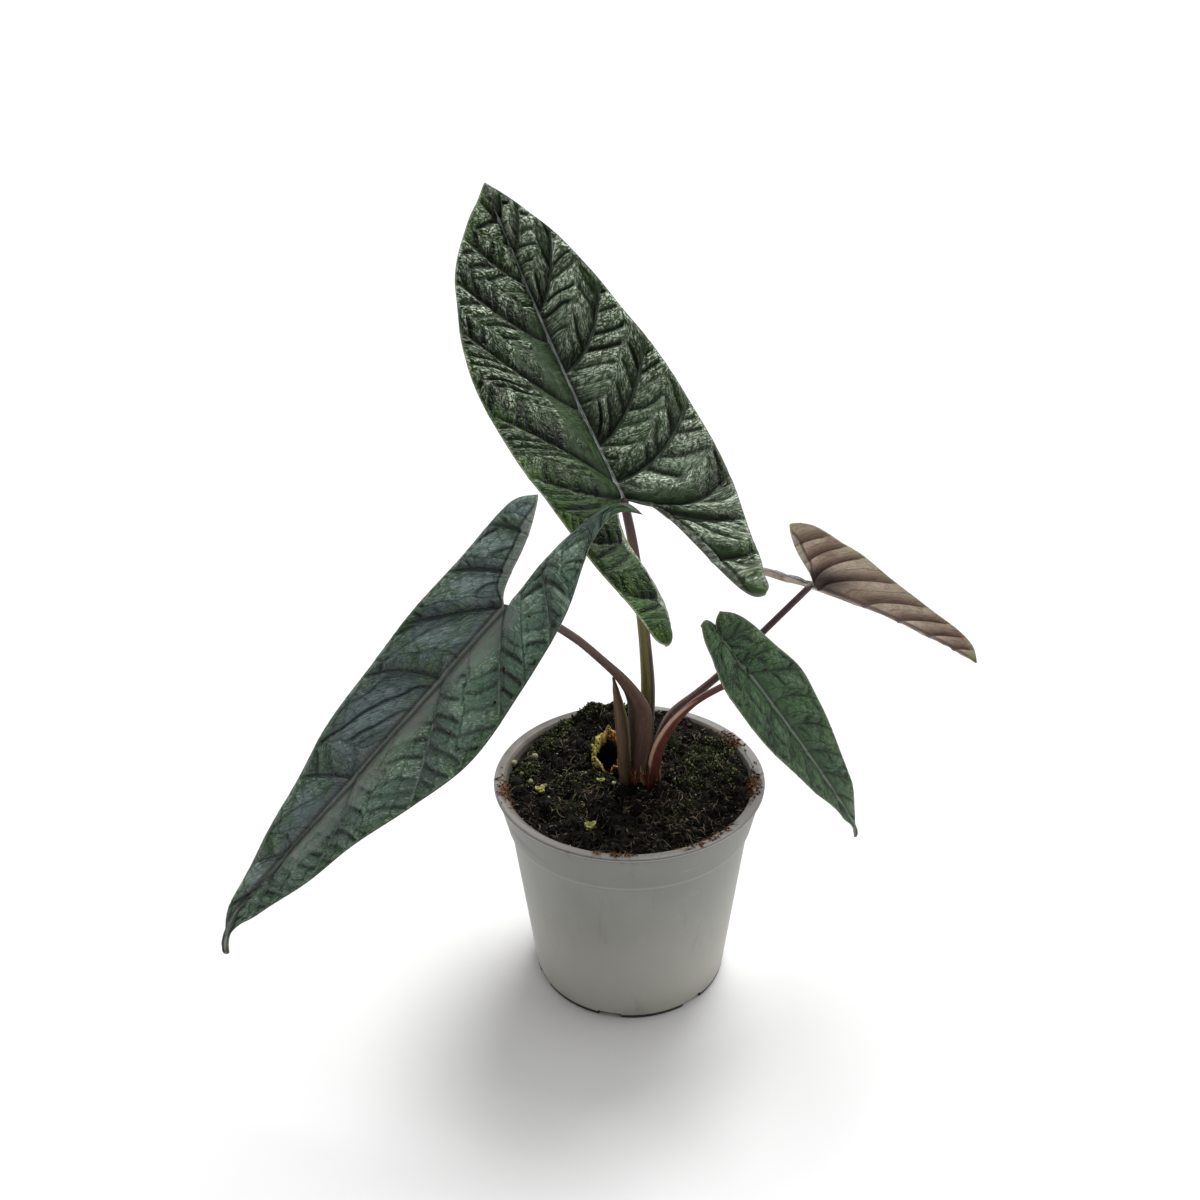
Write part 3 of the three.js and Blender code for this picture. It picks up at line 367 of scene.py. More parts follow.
# Numbers
def mix(start, end, share):
    return start + (end - start) * share


def smooth_step(value, low, high):
    share = np.clip((value - low) / (high - low), 0, 1)
    return share * share * (3 - 2 * share)


def bump(distance, width):
    return np.exp(-(distance / width) ** 2)


def along(values, share):
    """The value at a share from 0 to 1 of a list of values at even stations."""
    return np.interp(np.asarray(share) * (len(values) - 1), np.arange(len(values)), values)


def even_angles(count):
    return np.arange(count) / count * 2 * math.pi


def listed(*fields):
    """The points or values that the fields of a grid make together, listed row by row."""
    return np.stack(np.broadcast_arrays(*fields), -1).reshape(-1, len(fields))


def chance(*keys):
    """A repeatable number from 0 to 1 for each set of keys."""
    mixed = sum(np.asarray(key, float) * weight for key, weight in zip(keys, (127.1, 311.7, 74.7, 193.3)))
    return np.abs(np.sin(mixed) * 43758.5453) % 1


def noise(x, y, seed=0):
    """Smooth value noise from 0 to 1 with features of about one unit."""
    column, row = np.floor(x), np.floor(y)
    right, ahead = x - column, y - row
    right = right * right * (3 - 2 * right)
    ahead = ahead * ahead * (3 - 2 * ahead)
    near = mix(chance(column, row, seed), chance(column + 1, row, seed), right)
    far = mix(chance(column, row + 1, seed), chance(column + 1, row + 1, seed), right)
    return mix(near, far, ahead)


def from_border(x, y, seed=0):
    """Distance to the nearest border between random cells of about one unit."""
    column, row = np.floor(x), np.floor(y)
    nearest = np.full(np.broadcast(x, y).shape, 9.0)
    second = nearest.copy()
    for step_x, step_y in np.ndindex(3, 3):
        cell_x, cell_y = column + step_x - 1, row + step_y - 1
        centre_x = cell_x + 0.1 + 0.8 * chance(cell_x, cell_y, seed)
        centre_y = cell_y + 0.1 + 0.8 * chance(cell_x, cell_y, seed + 1)
        reach = np.hypot(centre_x - x, centre_y - y)
        second = np.minimum(second, np.maximum(nearest, reach))
        nearest = np.minimum(nearest, reach)
    return second - nearest


def unit(vectors):
    return vectors / np.maximum(np.linalg.norm(vectors, axis=-1, keepdims=True), 1e-12)


def curve_points(points, shares):
    """A smooth curve through all the points, parted by the square roots of their distances."""
    points = np.array(points, float)
    points = np.vstack([2 * points[0] - points[1], points, 2 * points[-1] - points[-2]])
    knots = np.concatenate([[0], np.cumsum(np.linalg.norm(np.diff(points, axis=0), axis=1) ** 0.5)])
    place = np.asarray(shares, float) * (len(points) - 3)
    index = np.minimum(place.astype(int), len(points) - 4)
    share = (place - index)[:, None]
    p0, p1, p2, p3 = (points[index + step] for step in range(4))
    k0, k1, k2, k3 = (knots[index + step][:, None] for step in range(4))
    span = k2 - k1
    leave = ((p1 - p0) / (k1 - k0) - (p2 - p0) / (k2 - k0) + (p2 - p1) / span) * span
    arrive = ((p2 - p1) / span - (p3 - p1) / (k3 - k1) + (p3 - p2) / (k3 - k2)) * span
    cubic = (2 * p1 - 2 * p2 + leave + arrive) * share ** 3
    square = (-3 * p1 + 3 * p2 - 2 * leave - arrive) * share ** 2
    return cubic + square + leave * share + p1


def even_spline(points):
    """A function that gives the flat point at each share of a spline's length."""
    points = np.array(points, float)
    last = len(points) - 2
    place = np.linspace(0, len(points) - 1, 201)
    index = np.minimum(place.astype(int), last)
    share = (place - index)[:, None]
    before = points[np.maximum(index - 1, 0)]
    start, end = points[index], points[index + 1]
    after = points[np.minimum(index + 2, len(points) - 1)]
    leave, arrive = (end - before) / 2, (after - start) / 2
    cubic = (2 * start - 2 * end + leave + arrive) * share ** 3
    square = (-3 * start + 3 * end - 2 * leave - arrive) * share ** 2
    curve = cubic + square + leave * share + start
    length = np.concatenate([[0], np.cumsum(np.linalg.norm(np.diff(curve, axis=0), axis=1))])
    length /= length[-1]

    def at(shares):
        return np.stack([np.interp(shares, length, curve[:, 0]), np.interp(shares, length, curve[:, 1])], -1)

    return at


# Meshes
def in_frame(points):
    """Millimetres from the pot's axis, as metres in the frame."""
    return np.asarray(points) * MILLIMETRE + POT_AXIS


def grid_faces(rows, columns, first=0, wrap=False, flip=False):
    """Quads between the points of a grid that is stored row by row."""
    row = np.arange(rows - 1)[:, None]
    column = np.arange(columns if wrap else columns - 1)[None, :]
    following = (column + 1) % columns
    corners = [
        row * columns + column, row * columns + following,
        (row + 1) * columns + following, (row + 1) * columns + column,
    ]
    return first + listed(*(corners[::-1] if flip else corners))


def ring_faces(rings, sides):
    """Blocks of faces of a closed tube that is stored ring by ring: its wall and its two ends."""
    last = (rings - 1) * sides
    start_face, end_face = np.arange(sides)[::-1], np.arange(last, last + sides)
    return [grid_faces(rings, sides, wrap=True), start_face[None, :], end_face[None, :]]


def wall_faces(line, count, flip=False):
    """Quads between a line of points and the same line in the next layer, a count of points later."""
    wall = np.stack([line[:-1], line[1:], line[1:] + count, line[:-1] + count], -1)
    return wall[:, ::-1] if flip else wall


def sweep(path, facing, x, y):
    """Points beside each point of a path: x across it, and y towards the side that it faces."""
    tangent = unit(np.gradient(path, axis=0))
    across = unit(np.cross(np.array(facing, float), tangent) + 1e-9)
    above = np.cross(tangent, across)
    points = path[:, None] + across[:, None] * x[..., None] + above[:, None] * y[..., None]
    return points.reshape(-1, 3)


def tube(path, radii, sides):
    """Points and blocks of faces of a round tube along path points."""
    angle, radii = even_angles(sides), np.asarray(radii)[:, None]
    points = sweep(np.asarray(path, float), (0, 0, 1), radii * np.cos(angle), radii * np.sin(angle))
    return points, ring_faces(len(path), sides)


def mesh_piece(name, points, faces, material, slot, replaces=(), attributes=None, weld=0.0, sharp=None):
    """A piece of the plant from points in millimetres. Faces are blocks of faces with as many corners."""
    mesh = bpy.data.meshes.new(name)
    corner_lists = [face for block in faces for face in block.tolist()]
    mesh.from_pydata(in_frame(points).tolist(), [], corner_lists)
    for key, values in (attributes or {}).items():
        layer = mesh.attributes.new(key, "FLOAT_VECTOR", "POINT")
        layer.data.foreach_set("vector", np.asarray(values, np.float32).ravel())
    if weld:
        tidy = bmesh.new()
        tidy.from_mesh(mesh)
        bmesh.ops.remove_doubles(tidy, verts=tidy.verts, dist=weld * MILLIMETRE)
        bmesh.ops.dissolve_degenerate(tidy, edges=tidy.edges, dist=weld * MILLIMETRE * 0.1)
        tidy.to_mesh(mesh)
        tidy.free()
    mesh.validate()
    mesh.shade_smooth()
    if sharp:
        mesh.set_sharp_from_angle(angle=math.radians(sharp))
    mesh.materials.append(material)
    piece = bpy.data.objects.new(name, mesh)
    bpy.context.scene.collection.objects.link(piece)
    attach(piece, "root")
    if replaces:
        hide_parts(*replaces)
    return piece

# Materials
def colour(code):
    """A linear colour from a hexadecimal screen colour."""
    channels = [int(code[start:start + 2], 16) / 255 for start in (1, 3, 5)]
    return tuple(c / 12.92 if c < 0.04045 else ((c + 0.055) / 1.055) ** 2.4 for c in channels) + (1.0,)


class Nodes:
    """Builds the nodes of a material or the sky. Each call returns the socket that carries its result."""

    def __init__(self, owner):
        owner.use_nodes = True
        self.tree = owner.node_tree

    def node(self, kind, inputs, output=0, **settings):
        node = self.tree.nodes.new("ShaderNode" + kind)
        for key, value in settings.items():
            setattr(node, key, value)
        for key, value in inputs.items():
            self.feed(node.inputs[key], value)
        return node.outputs[output]

    def feed(self, socket, value):
        if isinstance(value, bpy.types.NodeSocket):
            self.tree.links.new(value, socket)
        else:
            socket.default_value = value

    def parts(self, vector):
        split = self.tree.nodes.new("ShaderNodeSeparateXYZ")
        self.feed(split.inputs[0], vector)
        return tuple(split.outputs)

    def between(self, value, low, high, start=0.0, end=1.0):
        """A smooth step from start, where the value is low, to end, where it is high."""
        inputs = {"Value": value, "From Min": low, "From Max": high, "To Min": start, "To Max": end}
        return self.node("MapRange", inputs, interpolation_type="SMOOTHSTEP")

    def maths(self, operation, first, second=0.0):
        return self.node("Math", {0: first, 1: second}, operation=operation)

    def times(self, *values):
        product = values[0]
        for value in values[1:]:
            product = self.maths("MULTIPLY", product, value)
        return product


class Recipe(Nodes):
    """The nodes of one material."""

    def __init__(self, name):
        self.material = bpy.data.materials.new(name)
        super().__init__(self.material)

    def attribute(self, name):
        return self.node("Attribute", {}, "Vector", attribute_name=name)

    def stretch(self, vector, scale):
        return self.node("VectorMath", {0: vector, 1: scale}, operation="MULTIPLY")

    def place(self, scale):
        """The point's place in the frame, in metres times scale."""
        return self.stretch(self.node("TexCoord", {}, "Object"), scale)

    def noise(self, vector, scale=1.0, detail=2.0, roughness=0.5, distortion=0.0):
        inputs = {
            "Vector": vector, "Scale": scale, "Detail": detail, "Roughness": roughness,
            "Distortion": distortion,
        }
        return self.node("TexNoise", inputs)

    def cell_edges(self, vector):
        """Distance to the nearest border between random cells of about one unit."""
        return self.node("TexVoronoi", {"Vector": vector, "Scale": 1.0}, feature="DISTANCE_TO_EDGE")

    def tint(self, amount, under, over):
        under = colour(under) if isinstance(under, str) else under
        over = colour(over) if isinstance(over, str) else over
        return self.node("Mix", {0: amount, 6: under, 7: over}, 2, data_type="RGBA")

    def layers(self, base, *coats):
        """The base under coats, each given as its colour and the factors of how much of it shows."""
        for over, *factors in coats:
            base = self.tint(self.times(*factors), base, over)
        return base

    def finish(self, base, roughness, specular, height=None, reach=0.0005, strength=1.0):
        """The material, with bumps as high as a reach in metres where a height is given."""
        shader = self.tree.nodes["Principled BSDF"].inputs
        self.feed(shader["Base Color"], base)
        self.feed(shader["Roughness"], roughness)
        self.feed(shader["Specular IOR Level"], specular)
        if height is not None:
            bumps = self.node("Bump", {"Height": height, "Distance": reach, "Strength": strength})
            self.feed(shader["Normal"], bumps)
        return self.material


# Blades: the midrib's frames are stepped out from the stalk, forwards to the apex and backwards under
# each basal lobe, and every flat point is carried onto the folded, arched surface that they give.
def turned(forward, side, normal, bend, sway, twist):
    ahead = unit(forward + normal * bend + side * sway)
    level = unit(side - ahead * side.dot(ahead))
    upright = np.cross(level, ahead)
    cosine, sine = math.cos(twist), math.sin(twist)
    return ahead, level * cosine - upright * sine, upright * cosine + level * sine


def first_frame(blade):
    heading, rise = math.radians(blade["heading"]), math.radians(blade["rise"])
    forward = np.array([
        math.cos(rise) * math.sin(heading), math.cos(rise) * math.cos(heading), math.sin(rise),
    ])
    side = np.array([math.cos(heading), -math.sin(heading), 0.0])
    return turned(forward, side, np.cross(side, forward), 0, 0, math.radians(blade["roll"]))


def blade_frames(blade, half, sign, backwards):
    """Points, side directions and normals, one for each step from the stalk."""
    forward, side, normal = first_frame(blade)
    point = np.array(blade["junction"], float)
    stations = [(point, side, normal)]
    step = FRAME_STEP / blade["length"]
    for index in range(math.ceil(0.5 / step) if backwards else math.ceil(1 / step)):
        if backwards:
            point = point - forward * FRAME_STEP
            bend = math.radians(half["droop"]) * step
            sway = -math.radians(blade["lobe_sway"]) * sign * step
            twist = -math.radians(blade["lobe_twist"]) * step
        else:
            share = (index + 0.5) * step
            point = point + forward * FRAME_STEP
            bend = math.radians(blade["bend"] + 2 * blade["bend_change"] * share) * step
            hook = math.radians(blade["hook"]) * step / (1 - HOOK_START) if share > HOOK_START else 0
            sway = math.radians(blade["sway"]) * step + hook
            twist = math.radians(blade["twist"]) * step
        forward, side, normal = turned(forward, side, normal, bend, sway, twist)
        stations.append((point, side, normal))
    return [np.array(column) for column in zip(*stations)]


def blade_surface(blade, half, sign):
    """A function from flat distance and out to points on the blade."""
    fold = math.radians(half["fold"])
    curve = math.radians(half["arch"]) / (blade["length"] / 4)
    frames = {back: blade_frames(blade, half, sign, back) for back in (False, True)}

    def at(distance, out):
        sideways = sign * (np.sin(fold) - np.sin(fold - curve * out)) / curve
        lift = (np.cos(fold - curve * out) - np.cos(fold)) / curve
        result = {}
        for back, (points, sides, normals) in frames.items():
            place = np.clip(np.abs(distance) / FRAME_STEP, 0, len(points) - 1.001)
            index = place.astype(int)
            share = (place - index)[..., None]
            point, side, normal = (mix(v[index], v[index + 1], share) for v in (points, sides, normals))
            result[back] = point + side * sideways[..., None] + normal * lift[..., None]
        return np.where((distance < 0)[..., None], result[True], result[False])

    return at


def half_blade(name, blade, side_name, sign):
    """The fine grid of a half blade: its middle surface, normals and where each point lies."""
    half, relief = blade[side_name], BLADE_RELIEF[name]
    lobe = half["lobe_laterals"]
    veins = [(0, 0, 0, 0, 0)]
    veins += [(inside, 0, end, bow, 1) for inside, end, bow in lobe]
    starts = blade["lateral_starts"]
    veins += [(1, start, end, bow, power) for start, (end, bow, power) in zip(starts, half["laterals"])]
    veins += [(1, blade["length"], 1, 0, 0)]
    inside, start, end, bow, power = (np.array(column, float) for column in zip(*veins))
    intervals = len(veins) - 1
    row = np.linspace(0, intervals, intervals * relief["rows"] + 1)[:, None]
    even = np.linspace(0, 1, relief["columns"] + 1)[None, :]
    share = even - 0.09 * np.sin(2 * math.pi * even)
    order = np.arange(len(veins))

    def value(values):
        return np.interp(row, order, values)

    inner_margin, outer_margin = even_spline(half["inner"]), even_spline(half["outer"][::-1])
    root = inner_margin(value(inside)) + np.stack([value(start), 0 * row], -1)
    tip = outer_margin(value(end))
    distance = mix(root[..., 0], tip[..., 0], share) - 4 * share * (1 - share) * value(bow)
    out = mix(root[..., 1], tip[..., 1], share)
    surface = blade_surface(blade, half, sign)
    reach = 0.2
    ahead = surface(distance + reach, out) - surface(distance - reach, out)
    outwards = surface(distance, out + reach) - surface(distance, out - reach)
    middle = surface(distance, out)

    main = np.concatenate([[0], np.flatnonzero(power), [intervals]])
    place = np.interp(row, main, np.arange(len(main)))
    panel = np.minimum(np.floor(place + 1e-6), len(main) - 2)
    fraction = place - panel
    whole = panel[:, 0].astype(int)
    vein_lines = middle[main * relief["rows"]]
    along_veins = unit(np.gradient(vein_lines, axis=1))
    across = np.diff(vein_lines, axis=0)
    skew = (across * unit(along_veins[:-1] + along_veins[1:])).sum(-1)
    gap = np.sqrt(np.maximum((across ** 2).sum(-1) - skew ** 2, 0.01))
    steps = np.linalg.norm(np.diff(middle, axis=1), axis=-1)
    return {
        "side": side_name, "row": row, "share": share + 0 * row, "distance": distance, "out": out,
        "middle": middle, "normal": unit(np.cross(outwards, ahead)) * sign,
        "fraction": fraction + 0 * share, "panel": panel + 0 * share, "gap": gap[whole], "skew": skew[whole],
        "length": np.concatenate([np.zeros((len(row), 1)), np.cumsum(steps, axis=1)], axis=1),
        "strength": power[main][whole[:, None] + (fraction > 0.5)] + 0 * share,
        "lobe_end": len(lobe) + 1, "costa": half["costa"],
    }


def secondary_ridges(relief, half, seed):
    """The ridges between secondary veins: valleys, swelling, and the weave of the fine veins along them."""
    side = relief[half["side"]]
    fraction, gap, length = half["fraction"], half["gap"], half["length"]
    meeting = side["meeting"] + 0.2 * (noise(length / 6, 7.3 * half["panel"], seed) - 0.5)
    apexward = fraction > meeting
    inwards = np.where(apexward, 1 - fraction, fraction) * gap
    outwards = length + np.where(apexward, fraction - 1, fraction) * half["skew"]
    slant = np.where(apexward, side["slants"][1], side["slants"][0])
    stretch = np.hypot(1, slant)
    warp = 2.4 * (noise(outwards / 8, inwards / 7 + 5 * half["panel"], seed) - 0.5)
    phase = (outwards - slant * inwards) / stretch + warp
    face = 2 * half["panel"] + apexward
    cell = phase / side["spacing"] + chance(face, seed)
    number = np.floor(cell)
    from_valley, power, ridge = np.full(cell.shape, 99.0), np.zeros(cell.shape), np.zeros(cell.shape)
    for step in (-1, 0, 1):
        centre = number + step + 0.5 + 0.5 * (chance(number + step, face, seed) - 0.5)
        reach = np.abs(cell - centre) * side["spacing"]
        nearer = reach < from_valley
        from_valley = np.where(nearer, reach, from_valley)
        power = np.where(nearer, mix(0.35, 1.0, chance(number + step, face, seed + 5)), power)
        beyond = number + step + (cell > centre)
        ridge = np.where(nearer, chance(beyond, face, seed + 7), ridge)
    fade = smooth_step(inwards, 0.0, 1.2) * smooth_step(np.abs(fraction - meeting) * gap, 0, 1.8)
    valley = bump(from_valley, 1.0) * power * fade
    swelling = np.sin(math.pi / 2 * np.minimum(1, 2 * from_valley / side["spacing"])) * fade
    weave = (phase, inwards * stretch, face + seed)
    return valley, swelling, weave, outwards, ridge


def blade_pattern(name, blade, half):
    """Relief of both faces in millimetres, and the values that the material paints with."""
    relief, side = BLADE_RELIEF[name], half["side"]
    row, share, fraction, gap = half["row"], half["share"], half["fraction"], half["gap"]
    length, strength = half["length"], half["strength"]
    seed = 10 * ord(name) + (side == "left")
    in_lobe = row < half["lobe_end"]
    from_vein = np.minimum(fraction, 1 - fraction) * gap
    from_midrib = np.where(in_lobe, np.hypot(half["distance"], half["out"]), np.abs(half["out"]))
    to_margin = length[:, -1:] - length
    to_edge = np.minimum(to_margin, np.where(in_lobe, length, 99.0))

    costa_place = half["costa"] * smooth_step(row, 0, 1) * smooth_step(half["lobe_end"] - row, 0, 0.8)
    costa = np.where(in_lobe, bump(length - costa_place, 0.6), 0.0)
    strip = np.where(in_lobe, smooth_step(costa_place - length, 0, 0.8), 0.0)
    lateral = strength * bump(from_vein, 0.55) * smooth_step(to_margin, 0.6, 4) * (1 - strip)
    midrib = bump(from_midrib, 0.85) * smooth_step(blade["length"] * 1.02 - half["distance"], 0, 14)
    edge = bump(to_edge, 0.7)

    steep_first = relief["crest"] < 0.5
    lean = fraction if steep_first else 1 - fraction
    steepest = math.log(0.5) / math.log(min(relief["crest"], 1 - relief["crest"]))
    quilt = (1 - np.abs(2 * lean ** steepest - 1) ** 2.4) * np.sin(math.pi * share ** 0.75)
    shadow_reach = mix(3.6, 1.6, share)
    undercut = strength * smooth_step(shadow_reach - from_vein, 0, shadow_reach) * (lean < 0.5) * (1 - strip)
    undercut *= smooth_step(to_margin, 1, 6)

    valley, swelling, weave, outwards, ridge = secondary_ridges(relief, half, seed)
    along_midrib = half["distance"] / blade["length"]
    teeth = 1 + 0.9 * (noise(length / 3.5, row * 3.1, seed + 3) - 0.5) + 0.3 * (ridge - 0.5)
    smooth_width = relief[side]["smooth"] * teeth
    smooth_width *= smooth_step(relief[side]["smooth_to"] - along_midrib, 0, 0.15)
    smooth = smooth_step(smooth_width - from_midrib, -relief["soft_edge"], relief["soft_edge"])
    low_panels = smooth_step(half["lobe_end"] + 1.1 - row, 0, 0.1) * smooth_step(0.75 - share, 0, 0.3)
    low_panels *= smooth_step(mix(0.3, 0.6, noise(length / 4, row, seed)) - lean, 0, 0.15)
    smooth = np.maximum(smooth, low_panels * relief[side]["smooth_panels"])
    open_ground = smooth_step(to_edge, 0.5, 3) * (1 - 0.85 * smooth) * (1 - strip)
    valley, swelling = valley * open_ground, swelling * open_ground
    size = relief["pucker_size"]
    border = size * from_border(outwards / size, (fraction * gap + 40 * half["panel"]) / size, seed)
    crack = bump(border, 0.6) * smooth_step(to_edge, 0.3, 2) * (1 - smooth) * smooth_step(from_vein, 0.3, 1.5)

    wave = blade["relief"] * 0.35 * np.sin(row * 2.9) * share ** 6
    rough = 0.3 * (noise(weave[0] / 1.4, weave[1] / 3.5, seed + 9) - 0.5) * (1 - smooth)
    body = blade["relief"] * quilt + wave + relief["swell"] * (swelling - 0.5)
    upper = body + rough - relief["depth"] * valley - relief[side]["pucker"] * crack
    upper += 0.4 * midrib - 0.35 * bump(from_midrib - 2.2, 1.1)
    upper -= 0.2 * lateral + 0.45 * undercut + 0.35 * costa
    under_ridge = 0.55 * strength * bump(from_vein, 0.8) * (1 - 0.7 * share) + 0.5 * costa
    keel = MIDRIB_DEPTH * (1 - np.clip(along_midrib, 0, 1)) + 0.25
    under = body - 0.5 * relief["depth"] * valley - under_ridge - keel * bump(from_midrib, 1.3)
    half_thickness = BLADE_THICKNESS / 2 * mix(0.45, 1.0, smooth_step(to_edge, 0, 1.6))
    lobe_tip = smooth_step(0.6 - row, 0, 0.6) + 0 * share
    values = {
        "veins": (lateral, midrib, edge),
        "weave": weave,
        "relief": (np.clip(quilt, 0, 1), np.maximum(valley, 0.55 * crack), share),
        "lobe": (costa, strip, to_margin),
        "panel": (lean, undercut, ridge),
        "zones": (smooth, from_midrib, lobe_tip),
        "place": (along_midrib, np.full(share.shape, float(side == "left")), 0 * share),
    }
    values = {key: np.stack(parts, -1) for key, parts in values.items()}
    return upper + half_thickness, under - half_thickness, values


def make_blade(name, material, slot):
    """A blade of two halves that share the midrib, each an upper and an under layer with walls between."""
    blade = BLADES[name]
    halves = [half_blade(name, blade, "right", 1), half_blade(name, blade, "left", -1)]
    patterns = [blade_pattern(name, blade, half) for half in halves]
    junction = halves[0]["lobe_end"] * BLADE_RELIEF[name]["rows"]
    midrib_line, apex = (slice(junction, None), slice(0, 1)), (slice(-1, None), slice(None))
    for pair in ([half["normal"] for half in halves], [p[0] for p in patterns], [p[1] for p in patterns]):
        for field in pair:
            field[apex] = pair[0][-1, 0]
        shared = (pair[0][midrib_line] + pair[1][midrib_line]) / 2
        for field in pair:
            field[midrib_line] = shared
    points, faces, layers, first = [], [], {}, 0
    for half, (upper, under, values) in zip(halves, patterns):
        rows, columns = upper.shape
        count = rows * columns
        is_left = half["side"] == "left"
        for offset, is_under in ((upper, False), (under, True)):
            points.append((half["middle"] + half["normal"] * offset[..., None]).reshape(-1, 3))
            faces.append(grid_faces(rows, columns, first + is_under * count, flip=is_left != is_under))
            values["place"][..., 2] = is_under
            for key, value in values.items():
                layers.setdefault(key, []).append(value.reshape(-1, 3).copy())
        for column, last_row in ((columns - 1, rows), (0, junction + 1)):
            line = np.arange(last_row) * columns + column + first
            faces.append(wall_faces(line, count, flip=(column == 0) == is_left))
        faces.append(wall_faces(np.arange(columns) + first, count, flip=not is_left))
        first += 2 * count
    layers = {key: np.concatenate(value) for key, value in layers.items()}
    mesh_piece(f"leaf_{name}", np.concatenate(points), faces, material, slot, (f"blade_{name}",), layers,
               weld=0.01)


# Stalks: fine sweeps of the same sections, with lips along the sheath's edges
STALK_STATIONS = 120
STALK_SIDES = 32
STALK_END = {"a": 0.985, "b": 0.985, "c": 0.985, "d": 0.98}


def make_stalk(name, material):
    stalk = STALKS[name]
    share = np.linspace(0, STALK_END[name], STALK_STATIONS)
    path = curve_points(stalk["path"], share)
    angle = even_angles(STALK_SIDES)
    cosine, sine = np.cos(angle), np.sin(angle)
    width, depth, groove = (along(stalk[key], share)[:, None] for key in ("width", "depth", "groove"))
    hollow = groove * np.maximum(sine, 0) ** 2
    lip = groove * 0.35 * depth * np.abs(cosine) ** 8
    ripple = 1 + 0.02 * (noise(angle * 3, share[:, None] * 20, ord(name)) - 0.5)
    x, y = width * cosine * ripple, (depth * sine * (1 - hollow) + lip) * ripple
    points = sweep(path, stalk["facing"], x, y)
    attributes = {
        "stalk": listed(share[:, None], cosine, sine), "sheath": listed(groove, hollow, path[:, 2:3]),
    }
    mesh_piece(f"petiole_{name}", points, ring_faces(STALK_STATIONS, STALK_SIDES), material, "stalk",
               (f"stalk_{name}",), attributes)


# Pot
def pot_inner_radius(height):
    wall_top = COLLAR_HEIGHT - 1
    upper = COLLAR_RADIUS - 1.1 - WALL
    if height < wall_top:
        return mix(BASE_RADIUS - WALL, upper, (height - FLOOR_TOP) / (wall_top - FLOOR_TOP))
    return mix(upper + 1, RIM_RADIUS - 6.2, (height - wall_top) / (POT_HEIGHT - 4 - wall_top))


def rounded(profile, radius, steps=4):
    """The profile with each corner replaced by a short curve."""
    profile = np.array(profile, float)
    result = [profile[0]]
    for before, corner, after in zip(profile, profile[1:], profile[2:]):
        first = min(radius, np.linalg.norm(before - corner) * 0.45)
        last = min(radius, np.linalg.norm(after - corner) * 0.45)
        start, end = corner + unit(before - corner) * first, corner + unit(after - corner) * last
        for step in range(steps + 1):
            share = step / steps
            result.append(mix(mix(start, corner, share), mix(corner, end, share), share))
    result.append(profile[-1])
    return np.array(result)


def prism(outline, low, high, turn):
    """Points and faces of an upright prism over a flat outline, turned round the pot's axis."""
    x, y = np.array(outline, float).T
    cosine, sine = math.cos(turn), math.sin(turn)
    points = [listed(x * cosine - y * sine, x * sine + y * cosine, level) for level in (low, high)]
    count = len(x)
    sides = [[i, (i + 1) % count, (i + 1) % count + count, i + count] for i in range(count)]
    return np.concatenate(points), [list(range(count))[::-1], list(range(count, 2 * count)), *sides]


def pot_cutters():
    """Prisms for the notches in the foot and for the drain holes, as one object."""
    inside, outside, half = BASE_RADIUS - NOTCH_DEPTH, BASE_RADIUS + 6, NOTCH_WIDTH / 2
    notch = [(inside, -half + 1), (outside, -half), (outside, half), (inside, half - 1)]
    ring = even_angles(28)
    hole = np.stack([DRAIN_CIRCLE + DRAIN_RADIUS * np.cos(ring), DRAIN_RADIUS * np.sin(ring)], -1)
    notch_turns = even_angles(NOTCHES) + math.radians(FIRST_NOTCH_ANGLE)
    hole_turns = even_angles(DRAIN_HOLES) + math.pi / DRAIN_HOLES
    prisms = [prism(notch, -2, NOTCH_HEIGHT, turn) for turn in notch_turns]
    prisms += [prism(hole, 2, 8, turn) for turn in hole_turns]
    points, faces = [], []
    for prism_points, prism_faces in prisms:
        faces += [[corner + len(points) for corner in face] for face in prism_faces]
        points += prism_points.tolist()
    mesh = bpy.data.meshes.new("pot_cutters")
    mesh.from_pydata(in_frame(points).tolist(), [], faces)
    tidy = bmesh.new()
    tidy.from_mesh(mesh)
    bmesh.ops.recalc_face_normals(tidy, faces=tidy.faces)
    tidy.to_mesh(mesh)
    tidy.free()
    return bpy.data.objects.new("pot_cutters", mesh)


